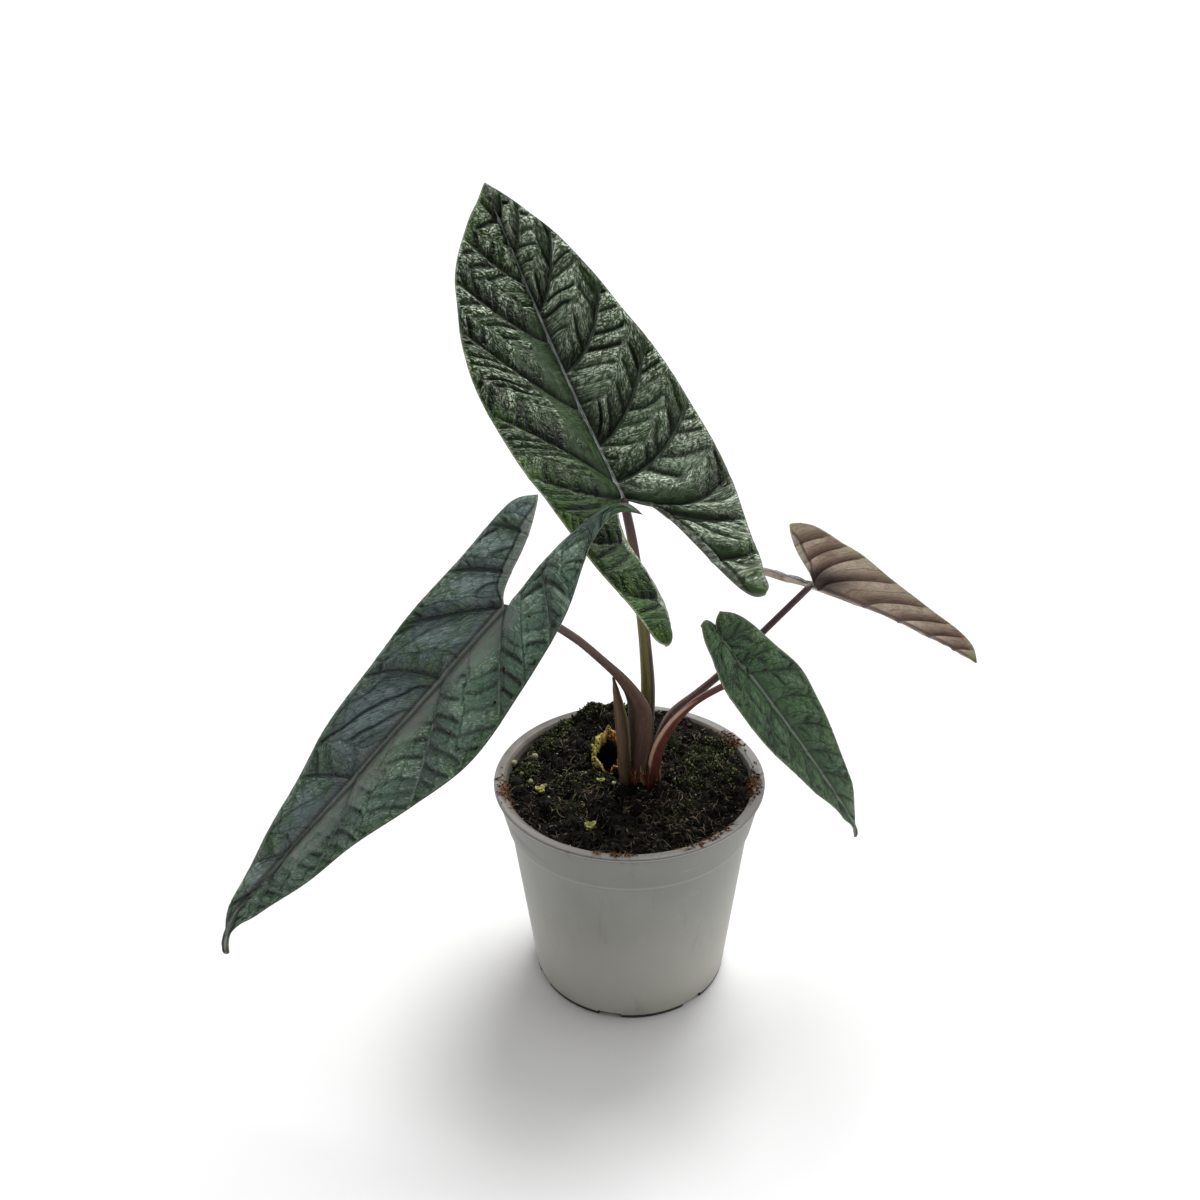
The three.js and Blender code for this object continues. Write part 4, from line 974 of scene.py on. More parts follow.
def make_pot(material):
    profile = rounded([
        (0.4, FLOOR_UNDERSIDE), (BASE_RADIUS - FOOT_WIDTH - 2.6, FLOOR_UNDERSIDE),
        (BASE_RADIUS - FOOT_WIDTH - 2, 0), (BASE_RADIUS - 0.4, 0), (BASE_RADIUS, 0.5),
        (COLLAR_RADIUS - 1.4, COLLAR_HEIGHT - 1), (COLLAR_RADIUS - 0.2, COLLAR_HEIGHT - 0.7),
        (COLLAR_RADIUS, COLLAR_HEIGHT + 0.3), (RIM_RADIUS - 1.2, LIP_BOTTOM - 0.7),
        (RIM_RADIUS - 1.7, LIP_BOTTOM), (RIM_RADIUS - 0.3, LIP_BOTTOM + 0.05),
        (RIM_RADIUS, LIP_BOTTOM + 0.6), (RIM_RADIUS - 0.4, POT_HEIGHT - 0.2), (RIM_RADIUS - 1.2, POT_HEIGHT),
        (RIM_RADIUS - 4.2, POT_HEIGHT - 0.3), (RIM_RADIUS - 5.6, POT_HEIGHT - 1.8),
        (RIM_RADIUS - 6.2, POT_HEIGHT - 4),
        (pot_inner_radius(COLLAR_HEIGHT), COLLAR_HEIGHT),
        (pot_inner_radius(COLLAR_HEIGHT - 1.2), COLLAR_HEIGHT - 1.2),
        (BASE_RADIUS - WALL, FLOOR_TOP), (0.4, FLOOR_TOP),
    ], 0.5)
    angle = even_angles(POT_SEGMENTS)
    radius, height = profile[:, 0:1], profile[:, 1:2]
    points = listed(radius * np.cos(angle), radius * np.sin(angle), height)
    faces = [block[:, ::-1] for block in ring_faces(len(profile), POT_SEGMENTS)]
    pot = mesh_piece("nursery_pot", points, faces, material, "pot", ("pot",))
    cut = pot.modifiers.new("notches and holes", "BOOLEAN")
    cut.operation = "DIFFERENCE"
    cut.solver = "EXACT"
    cut.object = pot_cutters()
    bpy.context.scene.collection.objects.link(cut.object)
    graph = bpy.context.evaluated_depsgraph_get()
    finished = bpy.data.meshes.new_from_object(pot.evaluated_get(graph))
    bpy.data.objects.remove(cut.object)
    pot.modifiers.clear()
    pot.data = finished
    finished.shade_smooth()
    finished.set_sharp_from_angle(angle=math.radians(38))


# Moss in low cushions: centre, spread and number of leaflets
MOSS_PATCHES = [
    ((-32.6, 37.5), 4.2, 900), ((-20, 46), 3.6, 500), ((-47, 6), 4.6, 700), ((-38.9, 25), 4.2, 600),
    ((32.2, 12.3), 6.0, 1200), ((42, 22), 5.0, 800), ((17, 27), 5.4, 800), ((28, -4), 5.0, 700),
    ((46, 6), 3.8, 400), ((-12, -1), 3.6, 500), ((-26, -4), 5.0, 600), ((-2, 42), 6, 700),
    ((-12, 26), 4.6, 500), ((22, -26), 6, 260), ((-28, -24), 6, 220),
]


def mossiness(x, y):
    """How mossy the soil is at a place, from 0 to 1."""
    return np.max([np.exp(-((x - centre[0]) ** 2 + (y - centre[1]) ** 2) / (1.7 * spread ** 2))
                   for centre, spread, _ in MOSS_PATCHES], axis=0)


# Soil
def soil_height(x, y):
    lumps = np.sin(0.33 * x + 1.3) * np.sin(0.29 * y + 0.4)
    lumps = lumps + 0.7 * np.sin(0.61 * x + 0.47 * y + 2.1) + 0.5 * np.sin(0.52 * x - 0.83 * y + 0.7)
    share = np.minimum(1, np.hypot(x, y) / RIM_RADIUS)
    hummocks = 4.4 * (noise(x / 4.4, y / 4.4, 21) - 0.5) + 1.6 * mossiness(x, y)
    back = 2.8 * smooth_step(y, 4, 44)
    for (centre_x, centre_y), (spread_x, spread_y), height in SOIL_HEAPS:
        back = back + height * bump(x - centre_x, spread_x) * bump(y - centre_y, spread_y)
    level = SOIL_EDGE + SOIL_MOUND * (1 - share ** 2)
    return level + (SOIL_LUMP * lumps + hummocks) * (1 - share ** 6) + back


def make_soil(material):
    segments, rings = 360, 110
    angle = even_angles(segments)
    top_radius = pot_inner_radius(SOIL_EDGE) - SOIL_CLEARANCE
    radius = top_radius * np.linspace(1, 0.004, rings)[:, None]
    x, y = radius * np.cos(angle), radius * np.sin(angle)
    rough = (noise(x / 2.6, y / 2.6, 3) - 0.5) * 4.4 + (noise(x / 0.9, y / 0.9, 4) - 0.5) * 1.6
    top = soil_height(x, y) + rough * smooth_step(top_radius + 0.4 - radius, 0, 3)
    from_stub = np.hypot(x - STUB_CENTRE[0], y - STUB_CENTRE[1])
    top = top - 5 * smooth_step(STUB_RADIUS + 0.6 - from_stub, 0, 1.6)
    wall = []
    for height in (FLOOR_TOP + 0.1, COLLAR_HEIGHT - 2, COLLAR_HEIGHT + 2):
        ring = pot_inner_radius(height) - SOIL_CLEARANCE
        wall.append(listed(ring * np.cos(angle), ring * np.sin(angle), height))
    points = np.concatenate([*wall, listed(x, y, top)])
    green = mossiness(points[:, 0], points[:, 1])
    tone = noise(points[:, 0] / 4, points[:, 1] / 4, 15)
    mesh_piece("peat", points, ring_faces(len(wall) + rings, segments), material, "soil", ("soil",),
               {"ground": listed(green, tone, 0)})


def soil_places(random, count, centre=None, spread=None):
    """Random places on the soil, kept out of the stub's hollow. A centre and a spread gather them."""
    x, y = np.empty(0), np.empty(0)
    limit = pot_inner_radius(SOIL_EDGE) - 0.8
    while len(x) < count:
        if centre is None:
            radius = limit * np.sqrt(random.uniform(0, 1, count))
            angle = random.uniform(0, 2 * math.pi, count)
            new_x, new_y = radius * np.cos(angle), radius * np.sin(angle)
        else:
            new_x = centre[0] + random.normal(0, spread, count)
            new_y = centre[1] + random.normal(0, spread, count)
        clear = np.hypot(new_x - STUB_CENTRE[0], new_y - STUB_CENTRE[1]) > STUB_RADIUS + 0.8
        clear &= np.hypot(new_x - CROWN_CENTRE[0], new_y - CROWN_CENTRE[1]) > CROWN_RADIUS
        clear &= np.hypot(new_x, new_y) < limit
        x, y = np.concatenate([x, new_x[clear]]), np.concatenate([y, new_y[clear]])
    return x[:count], y[:count]


# Small shapes, as points and faces
def lump_shape():
    """A small rough lump: an icosahedron with uneven corners."""
    golden = (1 + 5 ** 0.5) / 2
    corners = [(-1, golden, 0), (1, golden, 0), (-1, -golden, 0), (1, -golden, 0),
               (0, -1, golden), (0, 1, golden), (0, -1, -golden), (0, 1, -golden),
               (golden, 0, -1), (golden, 0, 1), (-golden, 0, -1), (-golden, 0, 1)]
    faces = [(0, 11, 5), (0, 5, 1), (0, 1, 7), (0, 7, 10), (0, 10, 11), (1, 5, 9), (5, 11, 4),
             (11, 10, 2), (10, 7, 6), (7, 1, 8), (3, 9, 4), (3, 4, 2), (3, 2, 6), (3, 6, 8),
             (3, 8, 9), (4, 9, 5), (2, 4, 11), (6, 2, 10), (8, 6, 7), (9, 8, 1)]
    uneven = 0.6 + 0.75 * chance(np.arange(12), 3)[:, None]
    return unit(np.array(corners, float)) * uneven, np.array(faces)


def ball_shape(segments, rings):
    angle = even_angles(segments)
    slope = np.linspace(0, math.pi, rings + 1)[:, None]
    points = listed(np.sin(slope) * np.cos(angle), np.sin(slope) * np.sin(angle), np.cos(slope))
    return points, grid_faces(rings + 1, segments, wrap=True)[:, ::-1]


def moss_leaf_shape():
    """A pointed leaflet, folded along its middle and closed underneath."""
    corners = [(0, 0, 0), (0.34, 0.45, 0.12), (0, 1, 0.2), (-0.34, 0.45, 0.12), (0, 0.45, -0.1)]
    faces = [(4, 1, 0), (4, 2, 1), (4, 3, 2), (4, 0, 3), (0, 1, 2), (0, 2, 3)]
    return np.array(corners, float), np.array(faces)


# Blade materials. The upper face is dark between silvery dashes of painted sheen that follow the weave of the
# fine veins, with painted light and shade across each panel and painted shade in the valleys, beside the
# laterals and between the dashes; the underside is mauve-brown, with painted light and shade across its
# panels and painted shade in its valleys. A pair is for the right and the left half.
LEAF_LOOKS = {
    "a": {
        "deep": "#040803", "shade": ("#202d14", "#101f09"), "panel": ("#5c6e56", "#2b4220"),
        "light": ("#8a9b80", "#385629"), "smooth": ("#19260f", "#17270f"), "mottle": "#2b3d26",
        "green": "#2f4915", "painted_sheen": "#d6e0cd", "painted_sheen_amount": (0.95, 0.95), "painted_sheen_low": (0.9, 0.08),
        "painted_sheen_from": 0.48, "dash": 0.42, "vein_inner": ("#5a685a", "#141c10"),
        "vein_outer": ("#5a685a", "#8b987e"), "vein_amount": 0.8, "margin": "#3f5d20",
        "margin_amount": (0.25, 0.65), "midrib": "#929c93", "edge": ("#646a62", "#828a72"),
        "tip": "#4c6530", "undercut": 0.85, "valley": 0.95, "specular": (0.14, 0.45), "rough": 0.36,
    },
    "b": {
        "deep": "#0c1312", "shade": ("#323f3e", "#394a40"), "panel": ("#657776", "#5b7563"),
        "light": ("#8a9f97", "#80987f"), "smooth": ("#55666a", "#65736a"), "mottle": "#767270",
        "green": "#3c5c33", "painted_sheen": "#cfdad2", "painted_sheen_amount": (0.5, 0.5), "painted_sheen_low": (0.4, 0.4),
        "painted_sheen_from": 0.56, "dash": 0.18, "vein_inner": ("#12191a", "#4c574f"),
        "vein_outer": ("#333f39", "#76847a"), "vein_amount": 0.75, "margin": "#3c5a32",
        "margin_amount": (0.6, 0.6), "midrib": "#6f776f", "edge": ("#8b9389", "#36453a"),
        "tip": "#5b6a4a", "undercut": 0.85, "valley": 0.8, "specular": (0.32, 0.6), "rough": 0.34,
    },
    "c": {
        "deep": "#16201a", "shade": ("#27362a", "#27362a"), "panel": ("#3b4d3f", "#3b4d3f"),
        "light": ("#4f6253", "#4f6253"), "smooth": ("#33443a", "#33443a"), "mottle": "#3b4d3f",
        "green": "#46583a", "painted_sheen": "#94a094", "painted_sheen_amount": (0.4, 0.4), "painted_sheen_low": (0.3, 0.3),
        "painted_sheen_from": 0.52, "dash": 0.4, "vein_inner": ("#121a14", "#121a14"),
        "vein_outer": ("#5f6c5f", "#5f6c5f"), "vein_amount": 0.8, "margin": "#58704a",
        "margin_amount": (0.4, 0.4), "midrib": "#87918a", "edge": ("#8d9184", "#8d9184"),
        "tip": "#8d9a45", "undercut": 0.7, "valley": 0.7, "specular": (0.3, 0.4), "rough": 0.45,
    },
    "d": {
        "deep": "#0d180e", "shade": ("#1e331e", "#213720"), "panel": ("#365332", "#335132"),
        "light": ("#4f6d4a", "#4a6848"), "smooth": ("#314d2d", "#304c2e"), "mottle": "#42603c",
        "green": "#3e5f31", "painted_sheen": "#a8b6a2", "painted_sheen_amount": (0.2, 0.2), "painted_sheen_low": (0.2, 0.2),
        "painted_sheen_from": 0.54, "dash": 0.15, "vein_inner": ("#152115", "#1b291b"),
        "vein_outer": ("#293c27", "#31452b"), "vein_amount": 0.35, "margin": "#4d6b3f",
        "margin_amount": (0.5, 0.5), "midrib": "#6b7f67", "edge": ("#7d806c", "#7d806c"),
        "tip": "#66743f", "undercut": 0.5, "valley": 0.8, "specular": (0.3, 0.45), "rough": 0.38,
    },
}
UNDERSIDE = {
    "dark": "#735d4d", "middle": "#9a8371", "light": "#c6b4a1", "vein": "#5b4440", "green": "#868f5b",
    "edge": "#b3af9d", "junction": "#241817",
}


def upper_colour(recipe, look, fields):
    """Colour of a blade's upper face, with painted light and shade, and how much of it is painted sheen."""
    lateral, midrib, edge = fields["veins"]
    crest, valley, share = fields["relief"]
    costa, strip, to_margin = fields["lobe"]
    distance, left, _ = fields["place"]
    lean, undercut, ridge = fields["panel"]
    smooth, from_midrib, lobe_tip = fields["zones"]
    patches, small_patches, strokes, grains = (
        fields[key] for key in ("patches", "small_patches", "strokes", "grains"))
    between, times, maths = recipe.between, recipe.times, recipe.maths

    def halves(key):
        first, second = look[key]
        if isinstance(first, str):
            return recipe.tint(left, first, second)
        return between(left, 0, 1, first, second)

    # Painted light and shade across each panel: shaded beside its steep lateral and lit towards its crest,
    # with painted light on some ridges
    painted_light_share = times(between(lean, 0.02, 0.6), between(crest, 0.0, 0.7, 0.45, 1.0))
    mottled = recipe.tint(between(small_patches, 0.35, 0.65), halves("smooth"), look["mottle"])
    unsmooth = between(smooth, 0.95, 0.05, 0.12, 1.0)
    panels = recipe.layers(
        recipe.tint(painted_light_share, halves("shade"), halves("panel")),
        (halves("light"), painted_light_share, between(ridge, 0.2, 0.9), 0.6),
        (look["green"], between(patches, 0.48, 0.62), between(small_patches, 0.35, 0.6), 0.7),
        (mottled, smooth, 0.8),
        (look["margin"], between(to_margin, 12, 1.5), between(patches, 0.36, 0.6), halves("margin_amount")),
        # Painted shadow between the strokes and in the valleys between the secondary ridges
        (look["deep"], between(strokes, 0.48, 0.36), unsmooth, look["dash"]),
        (look["deep"], between(valley, 0.15, 0.8), look["valley"]),
    )

    # Painted sheen: pale silvery highlights along the strokes, stronger towards the apex, on the lit side of
    # a panel and on lit ridges, and along the lobe's strip
    low = halves("painted_sheen_low")
    gain = maths("SUBTRACT", halves("painted_sheen_amount"), low)
    amount = maths("ADD", low, times(between(distance, -0.1, 0.4), gain))
    amount = times(amount, between(lean, 0.0, 0.6, 0.15, 1.0), unsmooth,
                   between(ridge, 0.1, 0.8, 0.3, 1.0), between(valley, 0.5, 0.1))
    amount = maths("MAXIMUM", amount, times(strip, 0.6, look["painted_sheen_amount"][0]))
    start = look["painted_sheen_from"]
    painted_sheen = times(between(strokes, start, start + 0.09), between(grains, 0.38, 0.56, 0.25, 1.0), amount)

    veins = recipe.tint(between(share, 0.15, 0.5), halves("vein_inner"), halves("vein_outer"))
    ends = maths("MAXIMUM", between(distance, 0.93, 1.0), times(lobe_tip, 0.6))
    above = recipe.layers(
        panels,
        (look["painted_sheen"], painted_sheen),
        # Painted shade beside each lateral, on its steep side
        (look["deep"], undercut, look["undercut"]),
        (veins, between(lateral, 0.3, 0.8), look["vein_amount"]),
        (halves("edge"), strip, 0.45),
        (look["deep"], between(costa, 0.3, 0.85), 0.7),
        (look["tip"], ends, 0.7),
        (look["deep"], between(from_midrib, 2.6, 1.3), between(distance, -0.02, 0.02), 0.7),
        (look["midrib"], between(midrib, 0.3, 0.75), 0.92),
        (halves("edge"), between(edge, 0.3, 0.9), between(small_patches, 0.3, 0.6, 0.6, 1.0)),
    )
    return above, painted_sheen


def under_colour(recipe, fields):
    """Colour of a blade's underside, with painted light and shade across its panels and painted shade in its
    valleys and between its strokes.
    """
    lateral, midrib, edge = fields["veins"]
    costa, strip, to_margin = fields["lobe"]
    distance, lean, valley = fields["place"][0], fields["panel"][0], fields["relief"][1]
    _, from_midrib, lobe_tip = fields["zones"]
    patches, small_patches, strokes = (fields[key] for key in ("patches", "small_patches", "strokes"))
    between, look = recipe.between, UNDERSIDE
    # Painted shade on the side of a panel by its steep lateral, and painted light towards the other side
    painted_light_share = between(lean, 0.05, 0.75)
    ribs = recipe.maths("MAXIMUM", recipe.maths("MAXIMUM", lateral, midrib), costa)
    ends = recipe.maths("MAXIMUM", between(distance, 0.88, 1.0), lobe_tip)
    return recipe.layers(
        recipe.tint(painted_light_share, look["dark"], look["middle"]),
        (look["light"], between(patches, 0.3, 0.6), painted_light_share),
        (look["dark"], between(small_patches, 0.5, 0.7), 0.3),
        (look["green"], between(to_margin, 9, 1), between(patches, 0.4, 0.7), 0.4),
        # Painted shade in the valleys and between the strokes
        (look["dark"], valley, 0.35),
        (look["dark"], between(strokes, 0.55, 0.4), 0.22),
        (look["edge"], strip, 0.6),
        (look["vein"], between(ribs, 0.2, 0.8), 0.85),
        (look["green"], ends, 0.8),
        (look["junction"], between(from_midrib, 14, 3), between(distance, 0.26, 0.05), 0.92),
        (look["edge"], between(edge, 0.4, 0.9), 0.7),
    )


def leaf_material(name):
    look = LEAF_LOOKS[name]
    recipe = Recipe(f"alocasia blade {name}")
    keys = ("veins", "relief", "lobe", "place", "panel", "zones")
    fields = {key: recipe.parts(recipe.attribute(key)) for key in keys}
    weave, place = recipe.attribute("weave"), recipe.place((1, 1, 1))
    fields["patches"] = recipe.noise(place, 55, 3, 0.6)
    fields["small_patches"] = recipe.noise(place, 260, 2, 0.6)
    fields["strokes"] = recipe.noise(recipe.stretch(weave, (1.6, 0.55, 5.3)), 1.0, 1.2, 0.5, 0.1)
    fields["grains"] = recipe.noise(recipe.stretch(weave, (1.9, 1.0, 3.1)), 1.2, 2, 0.6)
    net = recipe.cell_edges(recipe.stretch(weave, (0.42, 0.42, 3.7)))
    above, painted_sheen = upper_colour(recipe, look, fields)
    base = recipe.tint(fields["place"][2], above, under_colour(recipe, fields))
    texture = recipe.maths("ADD", fields["strokes"], recipe.times(fields["grains"], 0.5))
    texture = recipe.maths("ADD", texture, recipe.between(net, 0, 0.14, -0.5, 0))
    height = recipe.times(texture, recipe.between(fields["zones"][0], 0.9, 0.1, 0.2, 1.0))
    rough = recipe.between(painted_sheen, 0, 1, look["rough"], look["rough"] - 0.08)
    gloss = recipe.between(painted_sheen, 0, 1, *look["specular"])
    return recipe.finish(base, rough, gloss, height, 0.0006, 0.8)


# Stalk material: each has a colour for its left and right side, one below the blade and one for the pale
# edges of its sheath, and a strength for the painted shade in its sheath's hollow.
STALK_LOOKS = {
    "a": {"left": "#6e6832", "right": "#4c362d", "top": "#4a2f36", "lip": "#8d8350", "slit_shade": 0.85},
    "b": {"left": "#281814", "right": "#544039", "top": "#5a4347", "lip": "#5d4a3c", "slit_shade": 0.2},
    "c": {"left": "#4a3331", "right": "#34221f", "top": "#4d383b", "lip": "#6d5747", "slit_shade": 0.2},
    "d": {"left": "#5e3029", "right": "#2b1815", "top": "#5c3d3c", "lip": "#d2b09a", "slit_shade": 0.3},
}


def stalk_material(name):
    look = STALK_LOOKS[name]
    recipe = Recipe(f"alocasia stalk {name}")
    between, times, maths = recipe.between, recipe.times, recipe.maths
    share, cosine, sine = recipe.parts(recipe.attribute("stalk"))
    groove, hollow, height = recipe.parts(recipe.attribute("sheath"))
    fibres = recipe.noise(recipe.stretch(recipe.attribute("stalk"), (14, 6, 6)), 1, 3, 0.6)
    mottle = recipe.noise(recipe.place((1, 1, 0.4)), 700, 3, 0.65)
    base = recipe.layers(
        recipe.tint(between(cosine, -0.25, 0.45), look["left"], look["right"]),
        (look["top"], between(share, 0.7, 0.96)),
        ("#2c1f1b", between(fibres, 0.45, 0.7), 0.45),
        ("#8a7767", between(mottle, 0.52, 0.75), 0.3),
    )
    if name == "a":
        # Painted shadow along the slit of stalk a's sheath
        from_slit = maths("ABSOLUTE", maths("SUBTRACT", cosine, 0.28))
        slit_shade = times(between(from_slit, 0.36, 0.16), between(sine, 0.3, 0.0),
                     between(height, 122, 128), between(height, 172, 160))
        base = recipe.layers(base, ("#2c1b10", slit_shade, 0.9))
    base = recipe.layers(
        base,
        # Painted shade in the hollow of the sheath
        ("#1c110e", between(hollow, 0.1, 0.5), look["slit_shade"]),
        (look["lip"], between(maths("ABSOLUTE", cosine), 0.9, 0.99), between(groove, 0.25, 0.6), 0.8),
        ("#2a1815", between(height, 112, 98), 0.75),
    )
    bumps = maths("ADD", fibres, times(mottle, 0.4))
    return recipe.finish(base, between(mottle, 0.3, 0.7, 0.34, 0.5), 0.28, bumps, 0.0003, 0.6)


# Pot material: matt plastic with fine grain, handling marks, scratches and soil dust at the rim, with painted
# shade in the corners under the lip and at the collar, over the collar below the lip, and in black in the
# foot's undercut and the notches, painted highlights along the lip and above the collar step, and painted
# light that makes the wall paler towards the foot. The height above the ground and the distance from the
# frame's upright axis are in millimetres.
def pot_material():
    recipe = Recipe("matt nursery plastic")
    between, times, maths = recipe.between, recipe.times, recipe.maths
    place = recipe.place((1, 1, 1))
    height = times(recipe.parts(place)[2], 1 / MILLIMETRE)
    from_middle = recipe.node("VectorMath", {0: recipe.place((1, 1, 0))}, 1, operation="LENGTH")
    from_middle = times(from_middle, 1 / MILLIMETRE)
    grain = recipe.noise(place, 2600, 2, 0.6)
    clouds = recipe.noise(place, 22, 4, 0.6)
    marks = recipe.noise(recipe.place((1, 1, 0.18)), 160, 4, 0.7)
    scratches = recipe.noise(recipe.place((1, 1, 7)), 90, 3, 0.55, 0.6)
    dust = recipe.noise(place, 420, 4, 0.7)

    def line(level, reach):
        return between(maths("ABSOLUTE", maths("SUBTRACT", height, level)), reach, 0.0)

    inner = times(between(from_middle, 56.8, 55.2), between(height, 85, 95))
    # Where black painted shadow goes: the foot's undercut and the back of the notches
    foot = between(height, 2.4, 1.7)
    notch = times(between(height, 3.6, 3), between(from_middle, 43.6, 43.2))
    base = recipe.layers(
        recipe.tint(between(clouds, 0.3, 0.7), "#7e7f7a", "#8b8b86"),
        # Painted light: the wall is paler towards the foot
        ("#acaaa1", between(height, 85, 0), 0.9),
        ("#6d6b63", between(marks, 0.56, 0.76), 0.22),
        ("#a09e97", between(scratches, 0.64, 0.74), 0.35),
        # Painted shade along the collar step, and a painted highlight just above it
        ("#5c5b55", line(COLLAR_HEIGHT - 0.9, 0.9), between(clouds, 0.3, 0.6, 0.4, 0.9)),
        ("#a3a29c", line(COLLAR_HEIGHT + 0.6, 0.8), 0.35),
        # Painted shade under the lip
        ("#3b3934", line(LIP_BOTTOM - 0.35, 0.75), 0.9),
        ("#73726d", between(height, 99.8, 100.6)),
        # Painted highlight along the lip's outer edge
        ("#b3b2ac", line(LIP_BOTTOM + 0.6, 0.35), 0.6),
        ("#544b41", inner, 0.8),
        ("#2f2922", inner, between(clouds, 0.4, 0.6), 0.8),
        # Painted shade of the lip over the collar
        ("#6c6c67", between(height, COLLAR_HEIGHT, 84), between(height, LIP_BOTTOM, 98.5), 0.3),
        ("#5a4a3a", between(dust, 0.56, 0.66), between(height, 96.5, 100.4), 0.6),
        ("#5f584c", between(dust, 0.66, 0.72), between(marks, 0.5, 0.6), 0.5),
        ("#66604f", between(height, 16, 0), between(clouds, 0.4, 0.65), 0.35),
        # Painted shadow in the foot's undercut and the notches
        ("#0c0b0a", maths("MAXIMUM", foot, notch)),
    )
    bumps = maths("ADD", times(grain, 0.5), times(scratches, 0.5))
    return recipe.finish(base, between(clouds, 0.3, 0.7, 0.42, 0.55), 0.45, bumps, 0.00012, 0.5)


def soil_material():
    recipe = Recipe("peat")
    between = recipe.between
    place = recipe.place((1, 1, 1))
    mossy, tone, _ = recipe.parts(recipe.attribute("ground"))
    fine = recipe.noise(place, 1400, 4, 0.7)
    coarse = recipe.noise(place, 170, 4, 0.65)
    base = recipe.layers(
        recipe.tint(between(coarse, 0.35, 0.65), "#070707", "#191713"),
        ("#262119", between(tone, 0.5, 0.8), 0.6),
        ("#262b15", between(mossy, 0.1, 0.6), between(fine, 0.35, 0.6)),
        ("#3d3428", between(fine, 0.58, 0.72), 0.6),
    )
    bumps = recipe.maths("ADD", fine, recipe.times(coarse, 2.0))
    return recipe.finish(base, 0.93, 0.15, bumps, 0.0012)


def mixed_material(name, colours, rough=0.85, scale=1500, shine=0.2, depth=0.0003):
    """A material for many small things: each takes one of three colours, and its surface is mottled."""
    recipe = Recipe(name)
    pick, second, _ = recipe.parts(recipe.attribute("item"))
    mottle = recipe.noise(recipe.place((1, 1, 1)), scale, 3, 0.65)
    base = recipe.layers(
        recipe.tint(recipe.between(pick, 0.2, 0.6), colours[0], colours[1]),
        (colours[2], recipe.between(second, 0.72, 0.86)),
        (colours[0], recipe.between(mottle, 0.45, 0.7), 0.4),
    )
    return recipe.finish(base, rough, shine, mottle, depth, 0.8)


# Small things in large numbers
def random_turns(random, count):
    """Random rotation matrices."""
    quaternion = unit(random.normal(size=(count, 4)))
    w, x, y, z = quaternion.T
    return np.stack([
        np.stack([1 - 2 * (y * y + z * z), 2 * (x * y - z * w), 2 * (x * z + y * w)], -1),
        np.stack([2 * (x * y + z * w), 1 - 2 * (x * x + z * z), 2 * (y * z - x * w)], -1),
        np.stack([2 * (x * z - y * w), 2 * (y * z + x * w), 1 - 2 * (x * x + y * y)], -1),
    ], 1)


def item_tones(random, count, each):
    """A random pair of values for each small thing, repeated for each of its points."""
    values = np.zeros((count, 3))
    values[:, :2] = random.uniform(size=(count, 2))
    return np.repeat(values, each, axis=0)


def scatter(name, random, shape, places, sizes, material, slot="soil", wobble=0.0, **options):
    """A piece of many copies of a small shape, each turned at random."""
    template, template_faces = shape
    points = np.einsum("nij,mj->nmi", random_turns(random, len(places)), template)
    points = (points * sizes[:, None, :] + places[:, None, :]).reshape(-1, 3)
    points += wobble * np.sin(points[:, [1, 2, 0]] * 4.1)
    starts = np.arange(len(places)) * len(template)
    faces = (template_faces + starts[:, None, None]).reshape(-1, template_faces.shape[1])
    tones = item_tones(random, len(places), len(template))
    mesh_piece(name, points, [faces], material, slot, attributes={"item": tones}, **options)


def make_strands(name, random, paths, thickness, material, slot="soil", sides=3):
    """A piece of many thin strands that taper towards both ends."""
    points, walls, ends, first = [], [], [], 0
    for path, radius in zip(paths, thickness):
        from_middle = np.linspace(-1, 1, len(path))
        strand, (wall, *caps) = tube(path, radius * mix(1.0, 0.35, from_middle ** 2), sides)
        points.append(strand)
        walls.append(wall + first)
        ends += [cap + first for cap in caps]
        first += len(strand)
    faces = [np.concatenate(walls), np.concatenate(ends)]
    tones = item_tones(random, len(paths), len(points[0]))
    mesh_piece(name, np.concatenate(points), faces, material, slot, attributes={"item": tones})


def make_lumps(name, material, seed, count, size, centre=None, spread=None, flat=0.75, sunk=0.15):
    """Rough lumps lying on the soil, sized between two half widths."""
    random = np.random.default_rng(seed)
    x, y = soil_places(random, count, centre, spread)
    half = mix(*size, random.uniform(size=count) ** 3)
    places = listed(x, y, soil_height(x, y) + half * (flat - sunk))
    sizes = listed(half, half * random.uniform(0.6, 1, count), half * flat)
    scatter(name, random, lump_shape(), places, sizes, material, sharp=24)


FIBRE_SHARES = np.linspace(-0.5, 0.5, 6)


def curled(random, x, y, length):
    """Places along a curved fibre with a random length, heading and bend, and that length."""
    reach, angle = random.uniform(*length), random.uniform(0, 2 * math.pi)
    heading = angle + random.normal(0, 0.9) * FIBRE_SHARES
    return x + reach * FIBRE_SHARES * np.cos(heading), y + reach * FIBRE_SHARES * np.sin(heading), reach


def make_fibres(name, material, seed, count, length, thickness, centre=None, spread=None):
    """Thin curved fibres lying across the soil."""
    random = np.random.default_rng(seed)
    paths = []
    for place in zip(*soil_places(random, count, centre, spread)):
        x, y, reach = curled(random, *place, length)
        arc = 0.5 * random.uniform(0.2, 1) * reach * (0.25 - FIBRE_SHARES ** 2)
        slope = random.normal(0, 0.12) * reach * FIBRE_SHARES
        paths.append(listed(x, y, soil_height(x, y) + 0.5 + arc + slope))
    make_strands(name, random, paths, random.uniform(*thickness, count), material)


# Places on the rim where fibres and peat have spilled: angle round the pot, spread and number
RIM_SPILLS = [
    (31, 5, 90), (-6, 6, 110), (192, 6, 110), (-95, 5, 90), (-58, 4, 60), (-45, 4, 30),
]


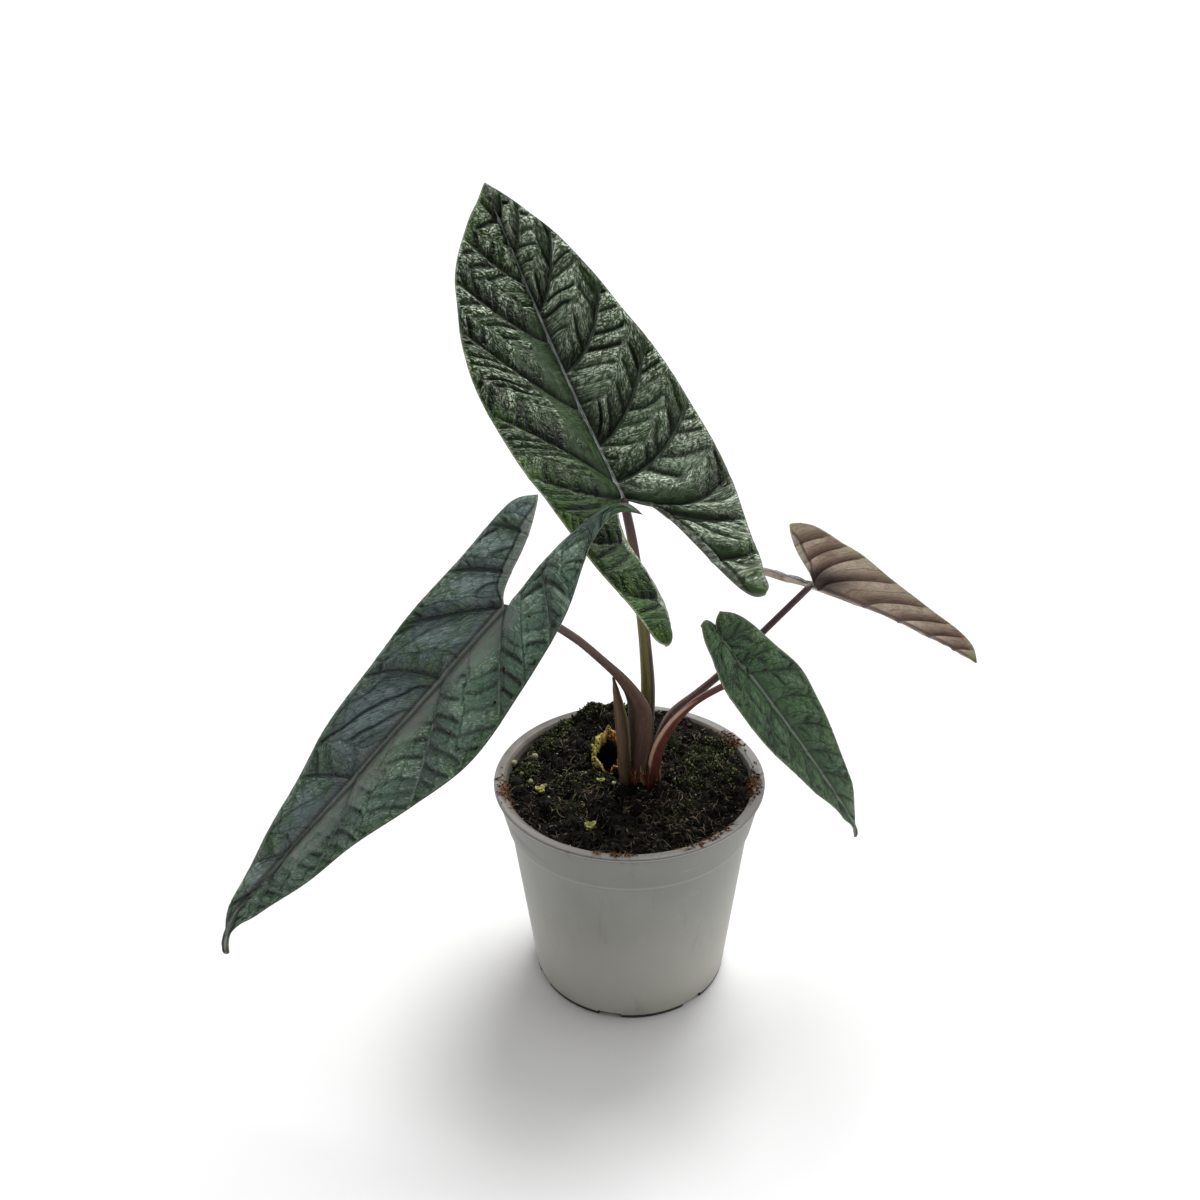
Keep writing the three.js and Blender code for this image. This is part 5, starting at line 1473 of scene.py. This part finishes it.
def rim_level(radius):
    """Height of the surface that litter lies on, from the soil's edge over the rolled lip."""
    levels = [SOIL_EDGE + 0.8, 97.6, 99.3, 100.7, 101, 100.8]
    return np.interp(radius, [51.5, 53.8, 54.5, 55.8, 58, 59.6], levels)


def make_rim_litter(fibre_material, crumb_material):
    random = np.random.default_rng(41)
    paths, thickness, crumbs = [], [], []
    for angle, spread, count in RIM_SPILLS:
        for _ in range(count):
            turn = math.radians(angle + random.normal(0, spread))
            radius = random.triangular(51.5, 54.6, 59.2)
            place, level = (radius * math.cos(turn), radius * math.sin(turn)), rim_level(radius)
            crumbs.append((*place, level + 0.25))
            if random.uniform() < 0.9:
                x, y, _ = curled(random, *place, (1.5, 6))
                paths.append(listed(x, y, np.maximum(rim_level(np.hypot(x, y)), level - 1) + 0.3))
                thickness.append(random.uniform(0.07, 0.18))
    make_strands("rim_fibres", random, paths, thickness, fibre_material)
    sizes = random.uniform(0.15, 0.6, (len(crumbs), 1)) * np.array([1, 0.8, 0.7])
    scatter("rim_crumbs", random, lump_shape(), np.array(crumbs), sizes, crumb_material)


def make_moss(material):
    random = np.random.default_rng(17)
    places = []
    for centre, spread, count in MOSS_PATCHES:
        x, y = soil_places(random, count, centre, spread)
        rise = mossiness(x, y) * random.uniform(0.1, 0.9, count)
        places.append(listed(x, y, soil_height(x, y) + 0.4 + rise))
    places = np.concatenate(places)
    sizes = 0.5 + 1.7 * random.uniform(size=(len(places), 1)) ** 2
    scatter("moss", random, moss_leaf_shape(), places, sizes, material, "sprout")


# Pale balls on the soil: place and half width
PALE_BALLS = [
    (-43.1, 16.5, 1.5), (-52.2, 12.4, 1.6), (-48.1, 4.5, 1.2), (-44.8, 9.6, 1.0), (-43.7, -0.2, 1.4),
    (-34.9, -14.5, 0.9), (-36.6, -5.0, 1.2), (-19.3, 3.7, 1.0), (-20.8, 5.2, 0.8), (-6.7, -7.6, 1.0),
]


def make_balls(material):
    random = np.random.default_rng(23)
    x, y, half = np.array(PALE_BALLS).T
    places = listed(x, y, soil_height(x, y) + 0.55 * half)
    scatter("pale_balls", random, ball_shape(14, 10), places, half[:, None], material, wobble=0.09,
            weld=0.001)


# Crown: a fibrous collar round the stalks' feet, with split red-brown fibres standing up from it
CROWN_FIBRES = 320


def make_crown(collar_material, fibre_material):
    segments = 120
    angle = even_angles(segments)
    profile = rounded([
        (0.02, CROWN_BOTTOM), (CROWN_RADIUS - 0.8, CROWN_BOTTOM), (CROWN_RADIUS - 0.2, CROWN_BOTTOM + 3),
        (CROWN_RADIUS - 0.5, CROWN_SHOULDER - 4), (CROWN_RADIUS - 1.1, CROWN_SHOULDER - 2),
        (CROWN_RADIUS - 1.9, CROWN_SHOULDER - 0.6), (CROWN_RADIUS - 2.8, CROWN_SHOULDER + 0.6),
        (CROWN_RADIUS - 4.5, CROWN_SHOULDER + 1), (0.02, CROWN_SHOULDER + 1),
    ], 0.8, 3)
    radius, height = profile[:, 0:1], profile[:, 1:2]
    ridges = 0.35 * (noise(angle * 9, height * 0.35, 2) - 0.5) + 0.25 * np.sin(5 * angle)
    radius = radius + ridges * smooth_step(radius, 1, 4)
    uneven = 0.9 * (noise(angle * 7, radius * 0.5, 8) - 0.5)
    height = height + uneven * smooth_step(height, CROWN_SHOULDER - 4, CROWN_SHOULDER + 1)
    x, y = CROWN_CENTRE[0] + radius * np.cos(angle), CROWN_CENTRE[1] + radius * np.sin(angle)
    mesh_piece("crown_collar", listed(x, y, height), ring_faces(len(profile), segments), collar_material,
               "crown", ("crown",), {"item": np.zeros((x.size, 3))})
    random = np.random.default_rng(5)
    paths, thickness = [], []
    for fibre in range(CROWN_FIBRES):
        turn = (fibre + random.uniform()) / CROWN_FIBRES * 2 * math.pi
        foot = CROWN_RADIUS - random.uniform(0.6, 2.4)
        lean, rise = random.uniform(-1.6, 1.4), 11 * random.uniform(0.25, 1) ** 1.3
        swing = random.normal(0, 0.2)
        stations = [(foot, 0, CROWN_BOTTOM + 3), (foot + 0.35, 0.02, CROWN_SHOULDER - 2)]
        for share in (0.3, 0.7, 1):
            stations.append((foot + share * lean, share * swing, CROWN_SHOULDER + share * rise))
        radius, swerve, height = np.array(stations).T
        x = CROWN_CENTRE[0] + radius * np.cos(turn + swerve)
        y = CROWN_CENTRE[1] + radius * np.sin(turn + swerve)
        paths.append(curve_points(listed(x, y, height), np.linspace(0, 1, 9)))
        thickness.append(random.uniform(0.14, 0.46))
    make_strands("crown_fibres", random, paths, thickness, fibre_material, "crown", 4)


# Stub: the withered, hollow base of an old stalk, open at the top and low in front
def make_stub(material):
    segments, rows = 150, 44
    angle = even_angles(segments)
    back = np.maximum(((1 + np.cos(angle - 1.1)) / 2) ** 1.2, 0.55 * ((1 + np.cos(angle - 2.8)) / 2) ** 2)
    ragged = np.sin(5 * angle + 0.6) + 0.6 * np.sin(9 * angle) + 1.8 * (noise(angle * 4.5, 0, 6) - 0.5)
    ragged = ragged + 1.0 * (noise(angle * 11, 0, 7) - 0.5)
    lift = mix(STUB_FRONT, STUB_BACK, back) + ragged
    wavy = 1 + 0.08 * np.sin(4 * angle + 0.5) + 0.05 * np.sin(7 * angle)
    share = np.linspace(0, 1, rows)[:, None]
    points, values = [], []
    for inset, bottom, shares in ((0, STUB_BOTTOM, share), (STUB_WALL, STUB_BOTTOM + STUB_WALL, share[::-1])):
        height = mix(bottom, lift, shares)
        crumple = 1.8 * (noise(angle * 5, height / 2.2, 12) - 0.5)
        crumple = crumple + 0.5 * (noise(angle * 12, height / 1.2, 13) - 0.5)
        curl = 0.7 * shares + 0.8 * shares ** 5 * (1 + np.sin(3 * angle + 1))
        swollen = inset * (1 + 0.5 * smooth_step(shares, 0.45, 0.9) * smooth_step(1 - shares, 0, 0.12))
        radius = (STUB_RADIUS - swollen) * (wavy - 0.06 * shares ** 2) + crumple * shares + curl
        x, y = STUB_CENTRE[0] + radius * np.cos(angle), STUB_CENTRE[1] + radius * np.sin(angle)
        points.append(listed(x, y, height))
        values.append(listed(shares, inset > 0, -np.cos(angle)))
    mesh_piece("withered_stub", np.concatenate(points), ring_faces(2 * rows, segments), material, "stub",
               ("stub",), {"stub": np.concatenate(values)})


def stub_material():
    recipe = Recipe("withered stub")
    between = recipe.between
    share, inner, from_left = recipe.parts(recipe.attribute("stub"))
    mottle = recipe.noise(recipe.place((1, 1, 0.5)), 420, 4, 0.65)
    spots = recipe.noise(recipe.place((1, 1, 1)), 900, 2, 0.5)
    rim = recipe.layers(
        recipe.tint(between(mottle, 0.42, 0.6), "#5a3213", "#b5762f"),
        ("#9c9040", between(from_left, -0.2, 0.6)),
        ("#d2bf88", between(spots, 0.54, 0.66)),
        ("#2b1a0d", between(spots, 0.44, 0.34)),
    )
    outside = recipe.tint(between(mottle, 0.4, 0.6), "#1d160e", "#4f4226")
    outside = recipe.tint(between(share, 0.55, 0.85), outside, rim)
    # Painted shade inside the hollow, nearly black below the rim
    inside = recipe.tint(between(share, 0.66, 0.88), "#040302", rim)
    return recipe.finish(recipe.tint(inner, outside, inside), 0.8, 0.2, mottle, 0.0008, 0.9)


# Bract: one thin dry sheath leaf, a curved strip that narrows to its tip
def make_bract(material):
    stations, columns = 70, 13
    share = np.linspace(0, 1, stations)
    path = curve_points(BRACT["path"], share)
    half = along(BRACT["width"], share)[:, None]
    share = share[:, None]
    line = np.linspace(-1, 1, columns)
    depth = -0.45 * half * (1 - line ** 2) + 0.12 * np.sin(share * 40 + line * 2)
    points = []
    for offset in (0, BRACT["thickness"]):
        points.append(sweep(path, BRACT["facing"], line * half, depth + offset * mix(1, 0.35, line ** 2)))
    count = stations * columns
    faces = [grid_faces(stations, columns), grid_faces(stations, columns, count, flip=True)]
    for column, flip in ((0, True), (columns - 1, False)):
        faces.append(wall_faces(np.arange(stations) * columns + column, count, flip))
    for row, flip in ((0, False), (stations - 1, True)):
        faces.append(wall_faces(np.arange(columns) + row * columns, count, flip))
    strip = np.tile(listed(share, line, 0), (2, 1))
    mesh_piece("dry_bract", np.concatenate(points), faces, material, "bract", ("bract",), {"strip": strip})


def bract_material():
    recipe = Recipe("dry bract")
    between = recipe.between
    share, line, _ = recipe.parts(recipe.attribute("strip"))
    fibres = recipe.noise(recipe.stretch(recipe.attribute("strip"), (5, 7, 1)), 1, 3, 0.6)
    base = recipe.layers(
        recipe.tint(between(line, -0.9, 0.3), "#6b5541", "#49372b"),
        ("#35261d", between(fibres, 0.45, 0.65), 0.6),
        ("#7f7752", between(line, 0.4, 0.6), 0.85),
        ("#c2b695", between(line, 0.8, 0.95), 0.85),
        ("#57552c", between(share, 0.3, 0.0), 0.6),
    )
    return recipe.finish(base, 0.6, 0.3, fibres, 0.0004, 0.7)


# Sprouts: seedlings of two or three cupped leaflets on a short stem
LEAFLET_TILT = -0.5


def make_sprout(name, material):
    sprout = SPROUTS[name]
    (x, y), size = sprout["place"], sprout["size"]
    ground = soil_height(x, y)
    ball, ball_faces = ball_shape(24, 16)
    outwards, sideways, up = ball.T
    stem_path = [(x, y, ground - 4 + (size + 5) * step / 6) for step in range(7)]
    stem, faces = tube(stem_path, np.linspace(size * 0.3, size * 0.22, 7), 12)
    points, values, first = [stem], [np.zeros((len(stem), 3))], len(stem)
    for leaflet in range(sprout["leaflets"]):
        lobe = ball * np.array([0.9, 0.72, 0.5]) * size * 0.72
        lobe[:, 2] -= 0.3 * size * bump(sideways, 0.45) * smooth_step(up, 0, 0.7)
        lobe[:, 2] += 0.1 * size * (outwards > 0) * outwards ** 2
        uneven = noise(outwards * 2.5 + 9 * leaflet, sideways * 2.5 + up * 2, 30)
        lobe *= 1 + 0.35 * (uneven[:, None] - 0.5)
        lobe[:, 0] += size * 0.45
        turn = leaflet / sprout["leaflets"] * 2 * math.pi + x
        turning = Matrix.Rotation(turn, 3, "Z") @ Matrix.Rotation(LEAFLET_TILT, 3, "Y")
        points.append(lobe @ np.array(turning).T + (x, y, ground + size * 0.9 + leaflet * 0.3))
        values.append(listed(up, outwards, 0))
        faces.append(ball_faces + first)
        first += len(ball)
    mesh_piece(f"seedling_{name}", np.concatenate(points), faces, material, "sprout", (f"sprout_{name}",),
               {"sprout": np.concatenate(values)}, weld=0.001)


def sprout_material():
    recipe = Recipe("seedling")
    between = recipe.between
    upper, outwards, _ = recipe.parts(recipe.attribute("sprout"))
    mottle = recipe.noise(recipe.place((1, 1, 1)), 900, 3, 0.6)
    base = recipe.layers(
        recipe.tint(between(mottle, 0.4, 0.62), "#6d741f", "#a5a63f"),
        ("#c3c487", between(outwards, 0.35, 1.0)),
        ("#6b4a1c", between(mottle, 0.4, 0.3)),
        # Painted shade on the leaflets' undersides
        ("#3c4415", between(upper, 0.2, -0.6), 0.8),
    )
    return recipe.finish(base, 0.5, 0.4, mottle, 0.0005, 0.8)


def root_material():
    recipe = Recipe("rhizome and roots")
    rings = recipe.noise(recipe.place((1, 1, 5)), 260, 3, 0.6)
    mottle = recipe.noise(recipe.place((1, 1, 1)), 900, 3, 0.6)
    base = recipe.layers(
        recipe.tint(recipe.between(rings, 0.4, 0.6), "#4a3423", "#7d6247"),
        ("#a58c6c", recipe.between(mottle, 0.5, 0.7), 0.6),
    )
    return recipe.finish(base, 0.85, 0.5, rings, 0.0008, 0.8)


# The plant
BLADE_SLOTS = {"a": "blade_dark", "b": "blade_slate", "c": "blade_underside", "d": "blade_green"}
for name in BLADES:
    make_blade(name, leaf_material(name), BLADE_SLOTS[name])
    make_stalk(name, stalk_material(name))
make_pot(pot_material())
make_soil(soil_material())

fibre_browns = mixed_material("red-brown fibres", ("#4a2519", "#6b3a28", "#a88a68"), 0.8, 1200)
collar_browns = mixed_material("crown fibre", ("#3a1c14", "#5a2e20", "#7a5238"), 0.85, 700, depth=0.001)
make_crown(collar_browns, fibre_browns)
make_stub(stub_material())
make_bract(bract_material())
seedling = sprout_material()
for name in SPROUTS:
    make_sprout(name, seedling)
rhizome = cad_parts["rhizome"]
rhizome.material_slots[0].material = root_material()

peat_browns = mixed_material("peat crumbs", ("#060605", "#191812", "#38372d"), 0.9, 1600, 0.15, 0.0005)
make_lumps("crumbs", peat_browns, 31, 5200, (0.2, 1.3), flat=0.5)
peat_fibres = mixed_material("peat fibres", ("#090806", "#241f18", "#6a624e"), 0.85, 900)
make_fibres("peat_fibres", peat_fibres, 32, 3200, (1.2, 6), (0.1, 0.42))
pale_fibres = mixed_material("pale fibres", ("#4a392a", "#7a6650", "#a8977a"), 0.85, 900)
make_fibres("right_fibres", pale_fibres, 33, 150, (2, 6), (0.08, 0.18), (24, -20), 10)
make_fibres("left_fibres", pale_fibres, 36, 60, (2, 7), (0.08, 0.18), (-30, -20), 14)
white_specks = mixed_material("perlite", ("#7d786c", "#b3ada0", "#e6e2d6"), 0.75, 2500)
make_lumps("white_specks", white_specks, 34, 240, (0.12, 0.5), sunk=-0.2)
make_lumps("white_cluster", white_specks, 35, 130, (0.12, 0.6), (17, -7), 10, sunk=-0.2)
ochre = mixed_material("rim litter", ("#3d2717", "#6b4629", "#9c7550"), 0.85, 1200)
make_rim_litter(ochre, mixed_material("rim peat", ("#1d140e", "#3a281b", "#6f4424"), 0.9, 1400))
make_moss(mixed_material("moss", ("#141a0d", "#333d20", "#66703a"), 0.75, 1500))
make_balls(mixed_material("pale balls", ("#6f6f52", "#8f9070", "#b7b894"), 0.7, 900))

# Stage: a wide pale floor, in metres
FLOOR_REACH = 400.0
floor_corners = [(x * FLOOR_REACH, y * FLOOR_REACH, 0) for x, y in ((-1, -1), (1, -1), (1, 1), (-1, 1))]
floor_mesh = bpy.data.meshes.new("floor")
floor_mesh.from_pydata(floor_corners, [], [(0, 1, 2, 3)])
floor_mesh.materials.append(Recipe("floor").finish(colour("#e0e0e0"), 0.9, 0.1))
floor = bpy.data.objects.new("floor", floor_mesh)
floor.location.z = cad_box[0].z
bpy.context.scene.collection.objects.link(floor)

# The sky is bright behind the plant and along the horizon, and dimmer behind the camera, so that what faces
# the camera keeps its dark tones.
SKY_FRONT = 0.27
SKY_BACK = 1.0
SKY_HORIZON = 1.05


def make_sky():
    world = bpy.data.worlds.new("studio sky")
    sky = Nodes(world)
    _, depth, height = sky.parts(sky.node("TexCoord", {}, "Generated"))
    strength = sky.between(depth, -0.7, 0.6, SKY_FRONT, SKY_BACK)
    horizon = sky.between(sky.maths("ABSOLUTE", height), 0.04, 0.2, SKY_HORIZON, 0.0)
    background = sky.tree.nodes["Background"].inputs
    sky.feed(background["Strength"], sky.maths("MAXIMUM", strength, horizon))
    sky.feed(background["Color"], (1, 1, 1, 1))
    bpy.context.scene.world = world


def add_sun(name, azimuth, elevation, strength, angle):
    """A soft sun whose light comes from an azimuth (0 from behind the camera) and an elevation."""
    light = bpy.data.lights.new(name, "SUN")
    light.energy = strength
    light.angle = math.radians(angle)
    sun = bpy.data.objects.new(name, light)
    a, e = math.radians(azimuth), math.radians(elevation)
    source = Vector((math.sin(a) * math.cos(e), -math.cos(a) * math.cos(e), math.sin(e)))
    sun.rotation_mode = "QUATERNION"
    sun.rotation_quaternion = source.to_track_quat("Z", "Y")
    bpy.context.scene.collection.objects.link(sun)


# A soft sun from behind, and a weaker and softer one from the side
make_sky()
add_sun("key", 156, 57, 2.85, 32)
add_sun("side", 96, 35, 0.7, 60)

# Camera
CAMERA_PLACE = (0.0, -443.2, 407.0)
CAMERA_RIGHT = (0.9997, 0.0192, -0.0142)
CAMERA_UP = (0.0042, 0.4441, 0.896)
CAMERA_FORWARD = (-0.0236, 0.8958, -0.4439)
camera_data = bpy.data.cameras.new("camera")
camera_data.sensor_width = 36
camera_data.lens = 36
camera_data.clip_end = 2000
camera = bpy.data.objects.new("camera", camera_data)
turn = Matrix([CAMERA_RIGHT, CAMERA_UP, [-value for value in CAMERA_FORWARD]]).transposed()
camera.matrix_world = Matrix.Translation(Vector(in_frame(CAMERA_PLACE))) @ turn.to_4x4()
bpy.context.scene.collection.objects.link(camera)
bpy.context.scene.camera = camera
bpy.context.scene.view_settings.view_transform = "Standard"
